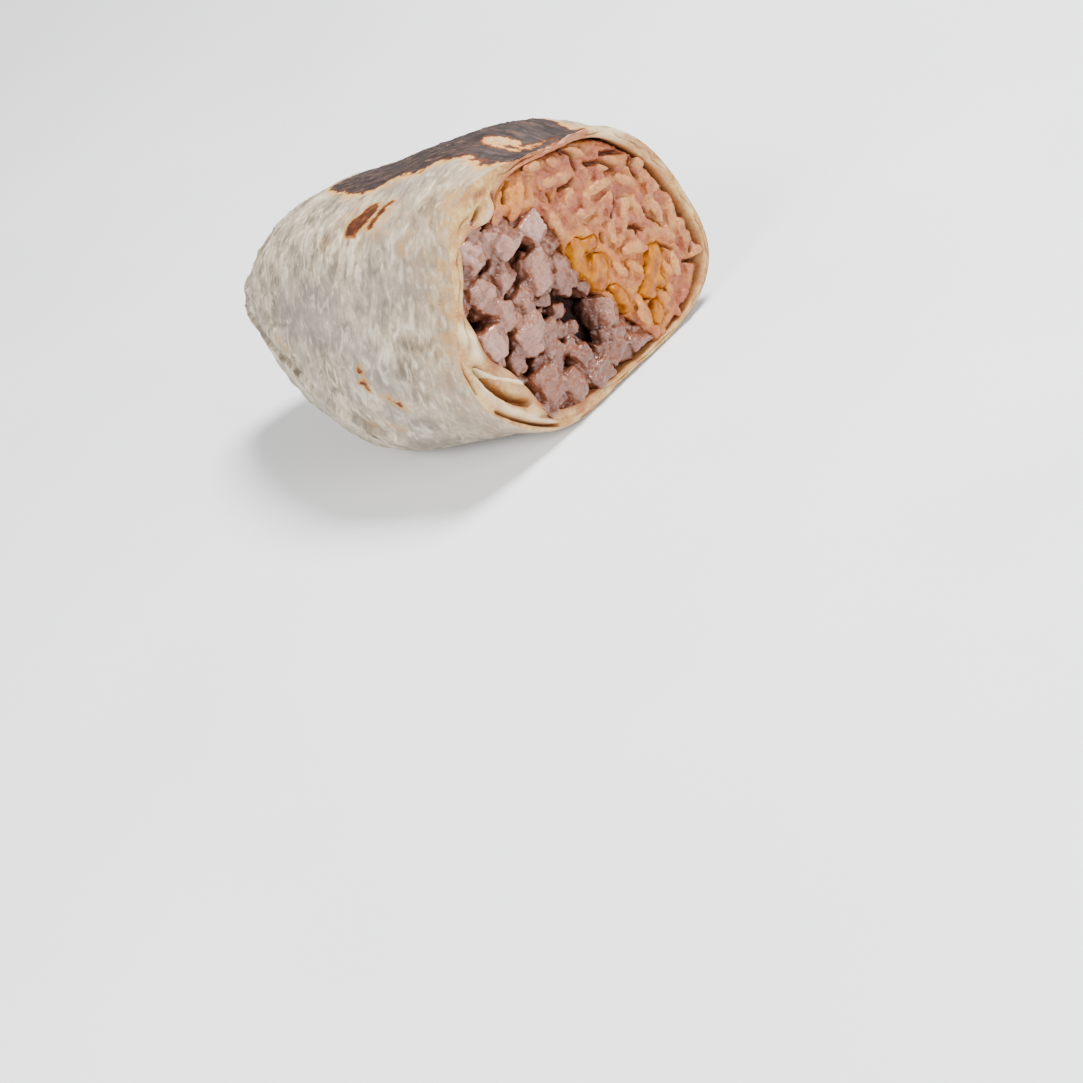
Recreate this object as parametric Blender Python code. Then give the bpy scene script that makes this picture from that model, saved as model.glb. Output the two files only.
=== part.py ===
"""Half of a griddled burrito: a flour tortilla rolled round rice, diced steak and melted cheese.

The half lies on its flattened side. X runs along the roll towards the cut, Z is up.
Sizes below are in millimetres, measured from the middle of the cut face.
"""
import math
import random

import bmesh
import bpy
from mathutils import Matrix, Vector

MM = 0.001

# Where the origin goes: the middle of the underside, below the middle of the length and width
ORIGIN = Vector((-42.0, -0.63, -26.5))

# The roll
TIP_X = -96.0           # folded end of the roll
FLOOR_Z = -26.5         # the flat that it was griddled and rests on
END_RADIUS = 31.5       # radius that the folded end tapers from
CUT_LEAN_Y = 0.36       # the knife ran about 20 degrees off square
CUT_LEAN_Z = -0.03
PINCH_LENGTH = 13.0     # the knife drew the edge in over this length

# The flat isn't quite level: it touches the plate at three low spots
FLAT_LIFT = 0.2
LOW_SPOTS = ((10, 247.5), (11, 300.0), (20, 262.5))     # ring of the loft, angle

# The folded end: tucks over this length, and one doubled edge that runs down it
TIP_LENGTH = 8.0         # the relief grows over this length from the tip
TUCK_LENGTH = 40.0
TUCKS = ((0.8, 5.0, 0.6), (0.5, 8.0, 2.0))      # height, count round the roll, phase
FOLD_EDGE_ANGLES = (196.0, 214.0)
FOLD_EDGE_HEIGHT = 1.1
FOLD_EDGE_SPREAD = 13.0
FOLD_EDGE_FADES = (24.0, 54.0)

# Radius of the cut edge, and of the roll behind it, by angle from +Y towards +Z
CUT_EDGE = {0: 32.0, 45: 32.0, 62: 30.5, 76: 29.6, 90: 31.0, 118: 36.4, 150: 32.3,
            185: 35.5, 215: 33.8, 240: 30.3, 268: 26.5, 300: 30.5, 328: 35.4}
ROLL = {0: 33.0, 30: 34.6, 46: 35.4, 76: 34.0, 90: 33.9, 118: 35.6, 150: 33.2,
        185: 34.8, 215: 33.7, 240: 30.4, 268: 26.5, 300: 30.5, 328: 35.2}

# Along the roll: x, middle y, middle z, width factor, height factor, roundness
STATIONS = [
    (-96.0, 8.0, 1.5, 0.05, 0.12, 1.0),
    (-94.5, 8.0, 1.5, 0.15, 0.22, 1.0),
    (-90.0, 7.5, 1.0, 0.30, 0.36, 1.0),
    (-84.0, 6.5, 0.5, 0.46, 0.51, 0.9),
    (-76.0, 5.0, -0.5, 0.64, 0.69, 0.7),
    (-66.0, 3.5, -1.5, 0.80, 0.84, 0.4),
    (-54.0, 1.5, -2.0, 0.93, 0.93, 0.1),
    (-42.0, 0.0, -2.0, 0.98, 0.96, 0.0),
    (-30.0, 0.0, -1.0, 1.00, 0.98, 0.0),
    (-16.0, 0.5, 0.3, 1.00, 1.00, 0.0),
    (-6.0, 0.0, 0.0, 1.00, 1.00, 0.0),
    (14.0, 0.0, 0.0, 1.00, 1.00, 0.0),
]

# Thickness of the wrap at the cut by angle: thin where it is one layer, thick where it folds
WRAP = {0: 2.8, 30: 3.6, 45: 3.2, 62: 2.0, 90: 2.2, 104: 5.0, 116: 9.0, 128: 4.4, 142: 3.0,
        155: 2.2, 166: 4.8, 178: 7.0, 192: 9.6, 205: 8.6, 216: 6.0, 228: 4.2, 245: 3.4,
        268: 2.0, 290: 1.6, 325: 1.8, 345: 2.2}
END_WRAP = 4.6          # folded layers at the closed end
WRAP_FADES = (-78.0, -34.0)
CAVITY_END_X = -83.0
FILLING_END_X = -81.0
FILLING_TRIM = 1.2      # degrees between a filling's outline and where the border meets the wrap
BORDER_SHARE = 0.97     # the border's points count up to this share of the way to the wrap
OVERSHOOT = 6.0         # how far the cutter of the inside runs past the knife's plane

GAP = 0.45              # between the pieces
CORE_GAP = 0.6          # the packed core stays just inside the room that it is trimmed to
RING_POINTS = 48
ARC_STEP = 360.0 / RING_POINTS
ROLL_RINGS = 21
RINGS_TO_TIP = 1.25     # above 1, the rings crowd towards the tip
CAVITY_RINGS = 13
FILLING_RINGS = (0.0, 0.1, 0.22, 0.36, 0.52, 0.68, 0.8, 0.88, 0.95)

# Steak lies on one side of this line across the cut face, rice on the other (y, z)
BORDER = [(-15.0, 31.0), (-11.0, 23.5), (-6.0, 21.3), (-0.8, 17.0), (0.6, 10.0), (-0.4, 3.0),
          (1.6, -3.5), (3.2, -8.5), (5.2, -13.5), (7.6, -18.5), (9.0, -23.5), (10.5, -31.0)]

# Melted cheese: middle line across the cut face and half its thickness (y, z, half)
CHEESE_LINE = [(2.9, 7.4, 1.0), (4.3, 4.0, 2.9), (5.3, -0.6, 3.2), (5.3, -4.8, 2.2),
               (6.3, -9.0, 1.5), (8.6, -13.2, 1.7), (12.6, -14.6, 1.8), (16.2, -11.8, 2.1),
               (19.4, -8.0, 1.3)]
CHEESE_RINGS_X = (-62.0, -50.0, -38.0, -26.0, -14.0)
CHEESE_RECESS = 0.6

# Diced steak that shows at the cut: y, z, width, height, how far it stands out
DICE = [
    (-17.9, 20.6, 7.4, 8.2, 0.6), (-20.6, 11.4, 6.4, 9.6, 0.4), (-25.4, 13.2, 4.2, 6.0, -1.6),
    (-23.6, 1.8, 7.0, 7.2, 0.2), (-11.6, 18.0, 5.4, 9.0, 0.0), (-4.6, 15.4, 5.4, 7.0, 0.3),
    (-6.4, 7.4, 7.4, 8.6, 0.8), (-14.4, 11.4, 4.8, 7.6, -0.4), (-18.4, 5.2, 5.0, 7.6, 0.1),
    (-16.8, -3.2, 6.8, 7.6, 0.5), (-17.2, -13.8, 7.4, 7.2, 0.6), (-12.9, -18.6, 6.4, 6.8, 0.5),
    (-7.4, -20.2, 5.4, 5.6, 0.3), (-1.6, -20.0, 5.4, 6.0, 0.2), (-12.8, 3.9, 5.2, 5.2, 0.4),
    (-11.4, -5.8, 5.8, 6.4, -0.2), (-12.4, -10.8, 5.4, 5.4, -0.4), (-7.2, -15.0, 5.2, 5.4, 0.0),
    (5.4, -21.2, 4.8, 4.8, 0.2), (1.8, -10.4, 4.4, 7.4, 0.5), (-20.8, -7.4, 4.8, 4.6, -0.8),
    (-14.6, -22.4, 5.2, 3.0, -1.0), (-1.4, 10.6, 4.2, 4.6, 0.2), (-2.4, 3.0, 5.0, 5.0, -0.6),
    (-21.6, 17.0, 4.4, 5.0, -0.8), (-7.8, -9.8, 4.4, 5.0, -2.6), (2.2, -16.4, 4.8, 5.6, 0.2),
    (-6.2, -4.2, 4.2, 4.4, -1.4), (-18.8, -18.6, 4.6, 4.4, -0.4),
]
DICE_DEPTH = 8.0
DICE_SWELL = 1.06       # so that neighbours touch
DICE_BEVEL = 0.2

# Gaps between the dice: y, z, half width, half height, lean in degrees, depth
PITS = [
    (-1.6, -9.2, 2.4, 7.4, -20.0, 12.0), (-9.0, 14.2, 1.2, 5.8, -33.0, 9.0),
    (-24.8, 8.2, 1.1, 4.4, 39.0, 8.0), (-8.2, -1.0, 2.2, 1.5, 0.0, 6.0),
    (-20.4, -1.6, 0.9, 3.4, -27.0, 6.5), (-17.6, 15.6, 0.8, 2.4, -52.0, 5.0),
]

# EXACT leaves open edges where dozens of dice and grains meet
HEAP_SOLVER = "MANIFOLD"

# Grains of rice
GRAIN_LENGTH = 6.6
GRAIN_WIDTH = 2.5
GRAIN_COUNT = 72
GRAIN_SPACING = 3.2
GRAIN_MARGIN = 1.2      # from the wrap and from the steak
GRAIN_CHEESE_MARGIN = 0.7
GRAIN_LEAN = 60.0       # degrees from +Y towards +Z, with this spread
GRAIN_LEAN_SPREAD = 42.0
RICE_RECESS = 2.2       # the packed rice lies this far behind the knife's plane
STEAK_RECESS = 5.5
PROUD_LIMIT = 2.1       # nothing stands out of the cut further than this
REACH = 35.0            # half the size of a square that holds the cut face

# The slits between the folded layers of the wrap: lines across the cut face (y, z)
SLITS = [
    [(-31.0, -0.6), (-29.3, -3.4), (-26.9, -6.2), (-24.6, -8.8)],
    [(-31.6, -11.6), (-28.6, -15.8), (-25.2, -19.2), (-22.2, -21.9)],
    [(-33.2, 2.2), (-32.9, -2.0), (-32.2, -5.6)],
    [(-14.6, 29.4), (-14.2, 27.4), (-13.2, 25.4)],
]
SLIT_WIDTH = 1.0
SLIT_DEPTH = 12.0


def mix(a, b, amount):
    return a + (b - a) * amount


def ease(value):
    value = min(max(value, 0.0), 1.0)
    return value * value * (3.0 - 2.0 * value)


def hermite(x0, y0, m0, x1, y1, m1, x):
    """Cubic through two points with a slope at each."""
    width = x1 - x0
    s = (x - x0) / width
    return ((2 * s**3 - 3 * s**2 + 1) * y0 + (s**3 - 2 * s**2 + s) * width * m0
            + (3 * s**2 - 2 * s**3) * y1 + (s**3 - s**2) * width * m1)


def round_value(table, angle):
    """Smooth value at an angle in degrees from a table that goes once round."""
    keys = sorted(table)
    around = [keys[-2] - 360.0, keys[-1] - 360.0] + keys + [keys[0] + 360.0, keys[1] + 360.0]
    values = [table[key % 360] for key in around]
    angle %= 360.0
    i = max(k for k in range(1, len(around) - 2) if around[k] <= angle)
    slope_low = (values[i + 1] - values[i - 1]) / (around[i + 1] - around[i - 1])
    slope_high = (values[i + 2] - values[i]) / (around[i + 2] - around[i])
    return hermite(around[i], values[i], slope_low, around[i + 1], values[i + 1], slope_high, angle)


def station(x):
    """Middle y, middle z, width factor, height factor and roundness at x."""
    rows = STATIONS
    x = min(max(x, rows[0][0]), rows[-1][0])
    for i in range(len(rows) - 1):
        if rows[i][0] <= x <= rows[i + 1][0]:
            break
    before = rows[max(i - 1, 0)]
    after = rows[min(i + 2, len(rows) - 1)]
    low, high = rows[i], rows[i + 1]
    result = []
    for k in range(1, 6):
        m0 = (high[k] - before[k]) / (high[0] - before[0])
        m1 = (after[k] - low[k]) / (after[0] - low[0])
        result.append(hermite(low[0], low[k], m0, high[0], high[k], m1, x))
    return result


def knife_x(y, z):
    return CUT_LEAN_Y * y + CUT_LEAN_Z * z


def edge_x(angle):
    """Where the knife's plane meets the roll's outside."""
    radius = round_value(CUT_EDGE, angle)
    turn = math.radians(angle)
    return knife_x(radius * math.cos(turn), radius * math.sin(turn))


def wrap_at(x, angle):
    amount = ease((x - WRAP_FADES[0]) / (WRAP_FADES[1] - WRAP_FADES[0]))
    return mix(END_WRAP, round_value(WRAP, angle), amount)


def room_at(angle):
    """Radius of the wrap's inside at the cut."""
    return round_value(CUT_EDGE, angle) - round_value(WRAP, angle)


def angle_of(y, z):
    return math.degrees(math.atan2(z, y))


def pleats(x, angle):
    """Relief where the end of the wrap is folded in: soft tucks and one doubled edge, in mm."""
    from_tip = x - TIP_X
    grown = ease(from_tip / TIP_LENGTH)
    turn = math.radians(angle)
    waves = sum(height * math.cos(count * turn + phase) for height, count, phase in TUCKS)
    tucked = grown * (1.0 - ease(from_tip / TUCK_LENGTH))
    off_edge = (angle - mix(*FOLD_EDGE_ANGLES, ease(from_tip / TUCK_LENGTH)) + 180.0) % 360.0 - 180.0
    doubled = FOLD_EDGE_HEIGHT * ease(1.0 - abs(off_edge) / FOLD_EDGE_SPREAD)
    start, end = FOLD_EDGE_FADES
    return tucked * waves + grown * doubled * (1.0 - ease((from_tip - start) / (end - start)))


def skin(x, angle, inset=0.0, share=1.0):
    """Point at x and angle, inset from the roll's outside, or a share of the way out to it."""
    middle_y, middle_z, wide, high, roundness = station(x)
    pinch = 1.0 - (edge_x(angle) - x) / PINCH_LENGTH
    radius = mix(round_value(ROLL, angle), round_value(CUT_EDGE, angle), ease(pinch))
    radius = mix(radius, END_RADIUS, roundness) + pleats(x, angle)
    turn = math.radians(angle)
    y = middle_y + share * (wide * radius - inset) * math.cos(turn)
    z = middle_z + share * (high * radius - inset) * math.sin(turn)
    return Vector((x, y, max(z, FLOOR_Z + inset)))


def within(x, y, z, gap):
    """A point of the cut face (y, z) carried back along the roll to x, inside the wrap."""
    angle = angle_of(y, z)
    share = min(math.hypot(y, z) / room_at(angle), 1.0)
    return skin(x, angle, wrap_at(x, angle) + gap, share)


def on_knife(point, offset=0.0):
    """The same y and z, on the knife's plane."""
    return Vector((knife_x(point.y, point.z) + offset, point.y, point.z))


def material(name, colour, roughness):
    made = bpy.data.materials.new(name)
    made.use_nodes = True
    shader = made.node_tree.nodes["Principled BSDF"]
    shader.inputs["Base Color"].default_value = (*colour, 1.0)
    shader.inputs["Roughness"].default_value = roughness
    shader.inputs["Metallic"].default_value = 0.0
    return made


def collection(name):
    made = bpy.data.collections.new(name)
    bpy.context.scene.collection.children.link(made)
    return made


def add_object(name, bm, group):
    """Turns a bmesh in millimetres into an object in metres, seated on its origin."""
    bmesh.ops.translate(bm, verts=bm.verts, vec=-ORIGIN)
    bmesh.ops.scale(bm, verts=bm.verts, vec=(MM, MM, MM))
    bmesh.ops.recalc_face_normals(bm, faces=bm.faces)
    mesh = bpy.data.meshes.new(name)
    bm.to_mesh(mesh)
    bm.free()
    made = bpy.data.objects.new(name, mesh)
    group.objects.link(made)
    return made


def loft(name, rings, group):
    """Closed body through rings of equal count, with a cap at each end."""
    bm = bmesh.new()
    rows = [[bm.verts.new(point) for point in ring] for ring in rings]
    for low, high in zip(rows, rows[1:]):
        count = len(low)
        for i in range(count):
            j = (i + 1) % count
            bm.faces.new((low[i], low[j], high[j], high[i]))
    caps = [bm.faces.new(rows[0]), bm.faces.new(rows[-1])]
    bmesh.ops.triangulate(bm, faces=caps)
    return add_object(name, bm, group)


def boolean(target, operation, other, solver="EXACT"):
    """Applies a Boolean with an object or a collection, then removes what it used."""
    modifier = target.modifiers.new("join", "BOOLEAN")
    modifier.operation = operation
    modifier.solver = solver
    if isinstance(other, bpy.types.Collection):
        modifier.operand_type = "COLLECTION"
        modifier.collection = other
        used = list(other.objects)
    else:
        modifier.object = other
        used = [other]
    graph = bpy.context.evaluated_depsgraph_get()
    result = bpy.data.meshes.new_from_object(target.evaluated_get(graph))
    target.modifiers.clear()
    target.data = result
    for item in used:
        bpy.data.objects.remove(item)


def keep_main_body(target):
    """Drops loose scraps and sealed hollows."""
    bm = bmesh.new()
    bm.from_mesh(target.data)
    bm.verts.ensure_lookup_table()
    left = set(bm.verts)
    bodies = []
    while left:
        seed = left.pop()
        body, edge = {seed}, [seed]
        while edge:
            vert = edge.pop()
            for link in vert.link_edges:
                near = link.other_vert(vert)
                if near not in body:
                    body.add(near)
                    edge.append(near)
        left -= body
        bodies.append(body)
    bodies.sort(key=len, reverse=True)
    spare = [vert for body in bodies[1:] for vert in body]
    if spare:
        bmesh.ops.delete(bm, geom=spare, context="VERTS")
    bm.to_mesh(target.data)
    bm.free()


def make_tortilla(parts, cutters):
    angles = [360.0 * i / RING_POINTS for i in range(RING_POINTS)]
    rings = []
    for k in range(ROLL_RINGS + 1):
        along = (k / ROLL_RINGS) ** RINGS_TO_TIP
        ring = []
        for angle in angles:
            x = mix(TIP_X, edge_x(angle), along)
            point = skin(x, angle)
            point.z = max(point.z, FLOOR_Z + FLAT_LIFT)
            ring.append(point)
        rings.append(ring)
    rings[-1] = [on_knife(point) for point in rings[-1]]
    for k, angle in LOW_SPOTS:
        rings[k][angles.index(angle)].z = FLOOR_Z
    tortilla = loft("tortilla", rings, parts)

    hollow = []
    for k in range(CAVITY_RINGS + 1):
        along = k / CAVITY_RINGS
        ring = []
        for angle in angles:
            x = mix(CAVITY_END_X, edge_x(angle), along)
            ring.append(skin(x, angle, wrap_at(x, angle)))
        hollow.append(ring)
    hollow[-1] = [on_knife(point) for point in hollow[-1]]
    hollow.append([point + Vector((OVERSHOOT, 0.0, 0.0)) for point in hollow[-1]])
    boolean(tortilla, "DIFFERENCE", loft("hollow", hollow, cutters))

    for i, line in enumerate(SLITS):
        boolean(tortilla, "DIFFERENCE", make_slit(f"slit_{i}", line, cutters))
    keep_main_body(tortilla)
    return tortilla


def make_slit(name, line, cutters):
    """A thin curved blade along a line across the face, running in from the cut."""
    side_a, side_b = strip_sides(line, [SLIT_WIDTH / 2] * len(line))
    outline = side_a + side_b[::-1]
    rings = []
    for back in (SLIT_DEPTH, -1.0):
        rings.append([Vector((knife_x(y, z) - back, y, z)) for y, z in outline])
    return loft(name, rings, cutters)


def strip_sides(line, halves):
    """The two sides of a strip along a line of (y, z) points."""
    side_a, side_b = [], []
    for i, (y, z) in enumerate(line):
        before = Vector(line[max(i - 1, 0)])
        after = Vector(line[min(i + 1, len(line) - 1)])
        run = (after - before).normalized()
        side_a.append((y - run.y * halves[i], z + run.x * halves[i]))
        side_b.append((y + run.y * halves[i], z - run.x * halves[i]))
    return side_a, side_b


def border_distance(y, z):
    """Distance to the steak and rice border: positive on the rice side."""
    best = None
    point = Vector((y, z))
    for a, b in zip(BORDER, BORDER[1:]):
        start, run = Vector(a), Vector(b) - Vector(a)
        share = min(max((point - start).dot(run) / run.length_squared, 0.0), 1.0)
        offset = point - (start + run * share)
        side = run.x * offset.y - run.y * offset.x
        if best is None or offset.length < abs(best):
            best = math.copysign(offset.length, side)
    return best


def border_crossing(at_start):
    """Angle at which the border meets the wrap, from its top or its bottom end."""
    ends = BORDER[:2] if at_start else BORDER[:-3:-1]
    (y0, z0), (y1, z1) = ends
    for step in range(101):
        y, z = mix(y0, y1, step / 100), mix(z0, z1, step / 100)
        angle = angle_of(y, z)
        if math.hypot(y, z) <= room_at(angle):
            break
    return angle % 360.0


def region_outline(side, gap):
    """Outline of the rice (side 1) or the steak (side -1) across the face, as (y, z) points."""
    top, bottom = border_crossing(True), border_crossing(False)
    rice_side, steak_side = strip_sides(BORDER, [gap] * len(BORDER))
    inner = (rice_side if side > 0 else steak_side)[1:-1]
    start, end = (bottom - 360.0, top) if side > 0 else (top, bottom)
    start, end = start + FILLING_TRIM, end - FILLING_TRIM
    first, last = math.ceil((start + 1.0) / ARC_STEP), math.floor((end - 1.0) / ARC_STEP)
    arc = []
    for angle in [start] + [ARC_STEP * i for i in range(first, last + 1)] + [end]:
        turn = math.radians(angle)
        arc.append((room_at(angle) * math.cos(turn), room_at(angle) * math.sin(turn)))
    ordered = inner if side > 0 else inner[::-1]
    return arc + [p for p in ordered if math.hypot(*p) < BORDER_SHARE * room_at(angle_of(*p))]


def region_solid(name, side, front, group, gap=GAP):
    """The rice or steak region as a solid from the closed end to the knife's plane plus front."""
    outline = region_outline(side, gap)
    rings = []
    start = FILLING_END_X - GAP + gap
    behind = min(front, 0.0)
    for along in FILLING_RINGS:
        ring = []
        for y, z in outline:
            ring.append(within(mix(start, knife_x(y, z) + behind, along), y, z, gap))
        rings.append(ring)
    last = [within(knife_x(y, z) + behind - 1.0, y, z, gap) for y, z in outline]
    rings.append([on_knife(point, front) for point in last])
    return loft(name, rings, group)


def grain_body(group, centre, direction, length, width, index):
    """One grain: five-sided, with pointed ends."""
    bm = bmesh.new()
    bmesh.ops.create_uvsphere(bm, u_segments=5, v_segments=4, radius=0.5)
    for vert in bm.verts:
        vert.co.z = math.copysign(abs(vert.co.z * 2) ** 0.8, vert.co.z) / 2
    turn = direction.to_track_quat("Z", "Y").to_matrix().to_4x4()
    bmesh.ops.scale(bm, verts=bm.verts, vec=(width, width * 0.85, length))
    bmesh.ops.transform(bm, verts=bm.verts, matrix=Matrix.Translation(centre) @ turn)
    return add_object(f"grain_{index:03d}", bm, group)


def scatter(rng, count, spacing, accept):
    """Random points of the face (y, z) that keep their spacing and are accepted."""
    points = []
    for _ in range(count * 80):
        y, z = rng.uniform(-REACH, REACH), rng.uniform(-REACH, REACH)
        if not accept(y, z):
            continue
        if all((y - a) ** 2 + (z - b) ** 2 > spacing**2 for a, b in points):
            points.append((y, z))
        if len(points) == count:
            break
    return points


def clear_of_wrap(y, z, margin):
    return math.hypot(y, z) < room_at(angle_of(y, z)) - margin


def cheese_distance(y, z):
    """Distance from a point of the face to the cheese's surface."""
    best = 1000.0
    point = Vector((y, z))
    for a, b in zip(CHEESE_LINE, CHEESE_LINE[1:]):
        start, run = Vector(a[:2]), Vector(b[:2]) - Vector(a[:2])
        share = min(max((point - start).dot(run) / run.length_squared, 0.0), 1.0)
        half = mix(a[2], b[2], share)
        best = min(best, (point - (start + run * share)).length - half)
    return best


def make_rice(parts, cutters, cheese_cutter):
    rice = region_solid("rice", 1, -RICE_RECESS, parts, CORE_GAP)
    rng = random.Random(11)
    grains = collection("grains")

    def accept(y, z):
        return (clear_of_wrap(y, z, GRAIN_MARGIN) and border_distance(y, z) > GRAIN_MARGIN
                and cheese_distance(y, z) > GRAIN_CHEESE_MARGIN)

    for i, (y, z) in enumerate(scatter(rng, GRAIN_COUNT, GRAIN_SPACING, accept)):
        lean = math.radians(rng.gauss(GRAIN_LEAN, GRAIN_LEAN_SPREAD))
        tip = rng.uniform(-0.35, 0.35)
        direction = Vector((tip, math.cos(lean), math.sin(lean))).normalized()
        depth = rng.uniform(0.9, 1.9)
        centre = Vector((knife_x(y, z) - depth, y, z))
        length = GRAIN_LENGTH * rng.uniform(0.85, 1.1)
        grain_body(grains, centre, direction, length, GRAIN_WIDTH * rng.uniform(0.92, 1.12), i)
    boolean(rice, "UNION", grains, HEAP_SOLVER)
    boolean(rice, "INTERSECT", region_solid("rice_room", 1, PROUD_LIMIT, cutters), HEAP_SOLVER)
    boolean(rice, "DIFFERENCE", cheese_cutter, HEAP_SOLVER)
    keep_main_body(rice)
    return rice


def die_body(group, rng, centre, width, height, depth, index):
    """One piece of diced steak: a knocked-about block with blunt edges."""
    bm = bmesh.new()
    bmesh.ops.create_cube(bm, size=1.0)
    bmesh.ops.bevel(bm, geom=list(bm.edges), offset=DICE_BEVEL, offset_type="OFFSET", segments=1,
                    profile=0.5, affect="EDGES", material=-1)
    for vert in bm.verts:
        vert.co *= 1.0 + rng.uniform(-0.09, 0.09)
    roll = Matrix.Rotation(rng.uniform(-0.5, 0.5), 4, "X")
    turn = roll @ Matrix.Rotation(rng.uniform(-0.25, 0.25), 4, "Y")
    bmesh.ops.scale(bm, verts=bm.verts, vec=(depth, width, height))
    bmesh.ops.transform(bm, verts=bm.verts, matrix=Matrix.Translation(centre) @ turn)
    return add_object(f"die_{index:02d}", bm, group)


def make_steak(parts, cutters):
    steak = region_solid("steak", -1, -STEAK_RECESS, parts, CORE_GAP)
    rng = random.Random(5)
    dice = collection("dice")
    for i, (y, z, width, height, proud) in enumerate(DICE):
        centre = Vector((knife_x(y, z) + proud - DICE_DEPTH / 2, y, z))
        die_body(dice, rng, centre, width * DICE_SWELL, height * DICE_SWELL, DICE_DEPTH, i)
    boolean(steak, "UNION", dice, HEAP_SOLVER)

    pits = collection("pits")
    for i, (y, z, half_y, half_z, lean, depth) in enumerate(PITS):
        bm = bmesh.new()
        bmesh.ops.create_uvsphere(bm, u_segments=10, v_segments=6, radius=1.0)
        bmesh.ops.scale(bm, verts=bm.verts, vec=(depth, half_y, half_z))
        turn = Matrix.Rotation(math.radians(lean), 4, "X")
        place = Matrix.Translation(Vector((knife_x(y, z), y, z)))
        bmesh.ops.transform(bm, verts=bm.verts, matrix=place @ turn)
        add_object(f"pit_{i}", bm, pits)
    boolean(steak, "DIFFERENCE", pits, HEAP_SOLVER)
    boolean(steak, "INTERSECT", region_solid("steak_room", -1, PROUD_LIMIT, cutters), HEAP_SOLVER)
    keep_main_body(steak)
    return steak


def cheese_solid(name, swell, front, group):
    """The cheese as a band that runs back through the rice, swollen all round by swell."""
    line = [(y, z) for y, z, half in CHEESE_LINE]
    first, second = Vector(line[0]), Vector(line[1])
    line[0] = tuple(first + (first - second).normalized() * swell)
    last, before = Vector(line[-1]), Vector(line[-2])
    line[-1] = tuple(last + (last - before).normalized() * swell)
    halves = [half + swell for y, z, half in CHEESE_LINE]
    side_a, side_b = strip_sides(line, halves)
    outline = side_a + side_b[::-1]
    rings = []
    for x in (CHEESE_RINGS_X[0] - 2.0 * swell, *CHEESE_RINGS_X[1:]):
        rings.append([within(x, y, z, GAP) for y, z in outline])
    last_ring = [within(knife_x(y, z) - 1.0, y, z, GAP) for y, z in outline]
    rings.append([on_knife(point, front) for point in last_ring])
    return loft(name, rings, group)


def make_cheese(parts):
    cheese = cheese_solid("cheese", 0.0, -CHEESE_RECESS, parts)
    rng = random.Random(3)
    lumps = collection("lumps")
    for i, (y, z, half) in enumerate(CHEESE_LINE[1:-1]):
        bm = bmesh.new()
        bmesh.ops.create_uvsphere(bm, u_segments=8, v_segments=6, radius=1.0)
        size = half * rng.uniform(0.85, 0.97)
        bmesh.ops.scale(bm, verts=bm.verts, vec=(1.3, size, size))
        spot = Vector((knife_x(y, z) - CHEESE_RECESS, y, z))
        bmesh.ops.translate(bm, verts=bm.verts, vec=spot)
        add_object(f"lump_{i}", bm, lumps)
    boolean(cheese, "UNION", lumps, HEAP_SOLVER)
    keep_main_body(cheese)
    return cheese


def main():
    for item in list(bpy.data.objects):
        bpy.data.objects.remove(item)
    parts = collection("burrito_half")
    cutters = collection("cutters")
    tortilla = make_tortilla(parts, cutters)
    steak = make_steak(parts, cutters)
    fat_cheese = cheese_solid("cheese_room", GAP, PROUD_LIMIT + 1.0, cutters)
    rice = make_rice(parts, cutters, fat_cheese)
    cheese = make_cheese(parts)
    looks = [
        (tortilla, material("flour_tortilla", (0.62, 0.56, 0.47), 0.75)),
        (steak, material("diced_steak", (0.42, 0.26, 0.24), 0.5)),
        (rice, material("coated_rice", (0.58, 0.32, 0.22), 0.5)),
        (cheese, material("melted_cheese", (0.60, 0.29, 0.06), 0.35)),
    ]
    for item, finish in looks:
        item.data.materials.clear()
        item.data.materials.append(finish)
        item.data.shade_smooth()
        item.data.set_sharp_from_angle(angle=math.radians(35.0))


main()
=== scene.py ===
import math
import random
from functools import lru_cache

import bmesh
import bpy
from mathutils import Matrix, Vector, kdtree, noise


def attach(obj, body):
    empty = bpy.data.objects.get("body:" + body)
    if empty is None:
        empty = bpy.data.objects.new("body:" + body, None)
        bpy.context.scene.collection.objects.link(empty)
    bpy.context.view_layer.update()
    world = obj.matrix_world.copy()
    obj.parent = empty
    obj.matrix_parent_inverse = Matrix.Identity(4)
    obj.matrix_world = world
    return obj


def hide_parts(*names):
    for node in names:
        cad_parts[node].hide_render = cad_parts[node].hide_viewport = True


# Half of a griddled burrito on its flat side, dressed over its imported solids

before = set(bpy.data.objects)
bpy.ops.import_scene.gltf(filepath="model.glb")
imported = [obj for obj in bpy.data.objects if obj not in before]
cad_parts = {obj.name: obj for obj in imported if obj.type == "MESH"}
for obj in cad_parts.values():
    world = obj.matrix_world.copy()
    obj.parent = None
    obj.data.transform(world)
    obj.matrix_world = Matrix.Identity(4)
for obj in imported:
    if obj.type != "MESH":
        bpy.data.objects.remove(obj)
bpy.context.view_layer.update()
mm = 0.001

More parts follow.
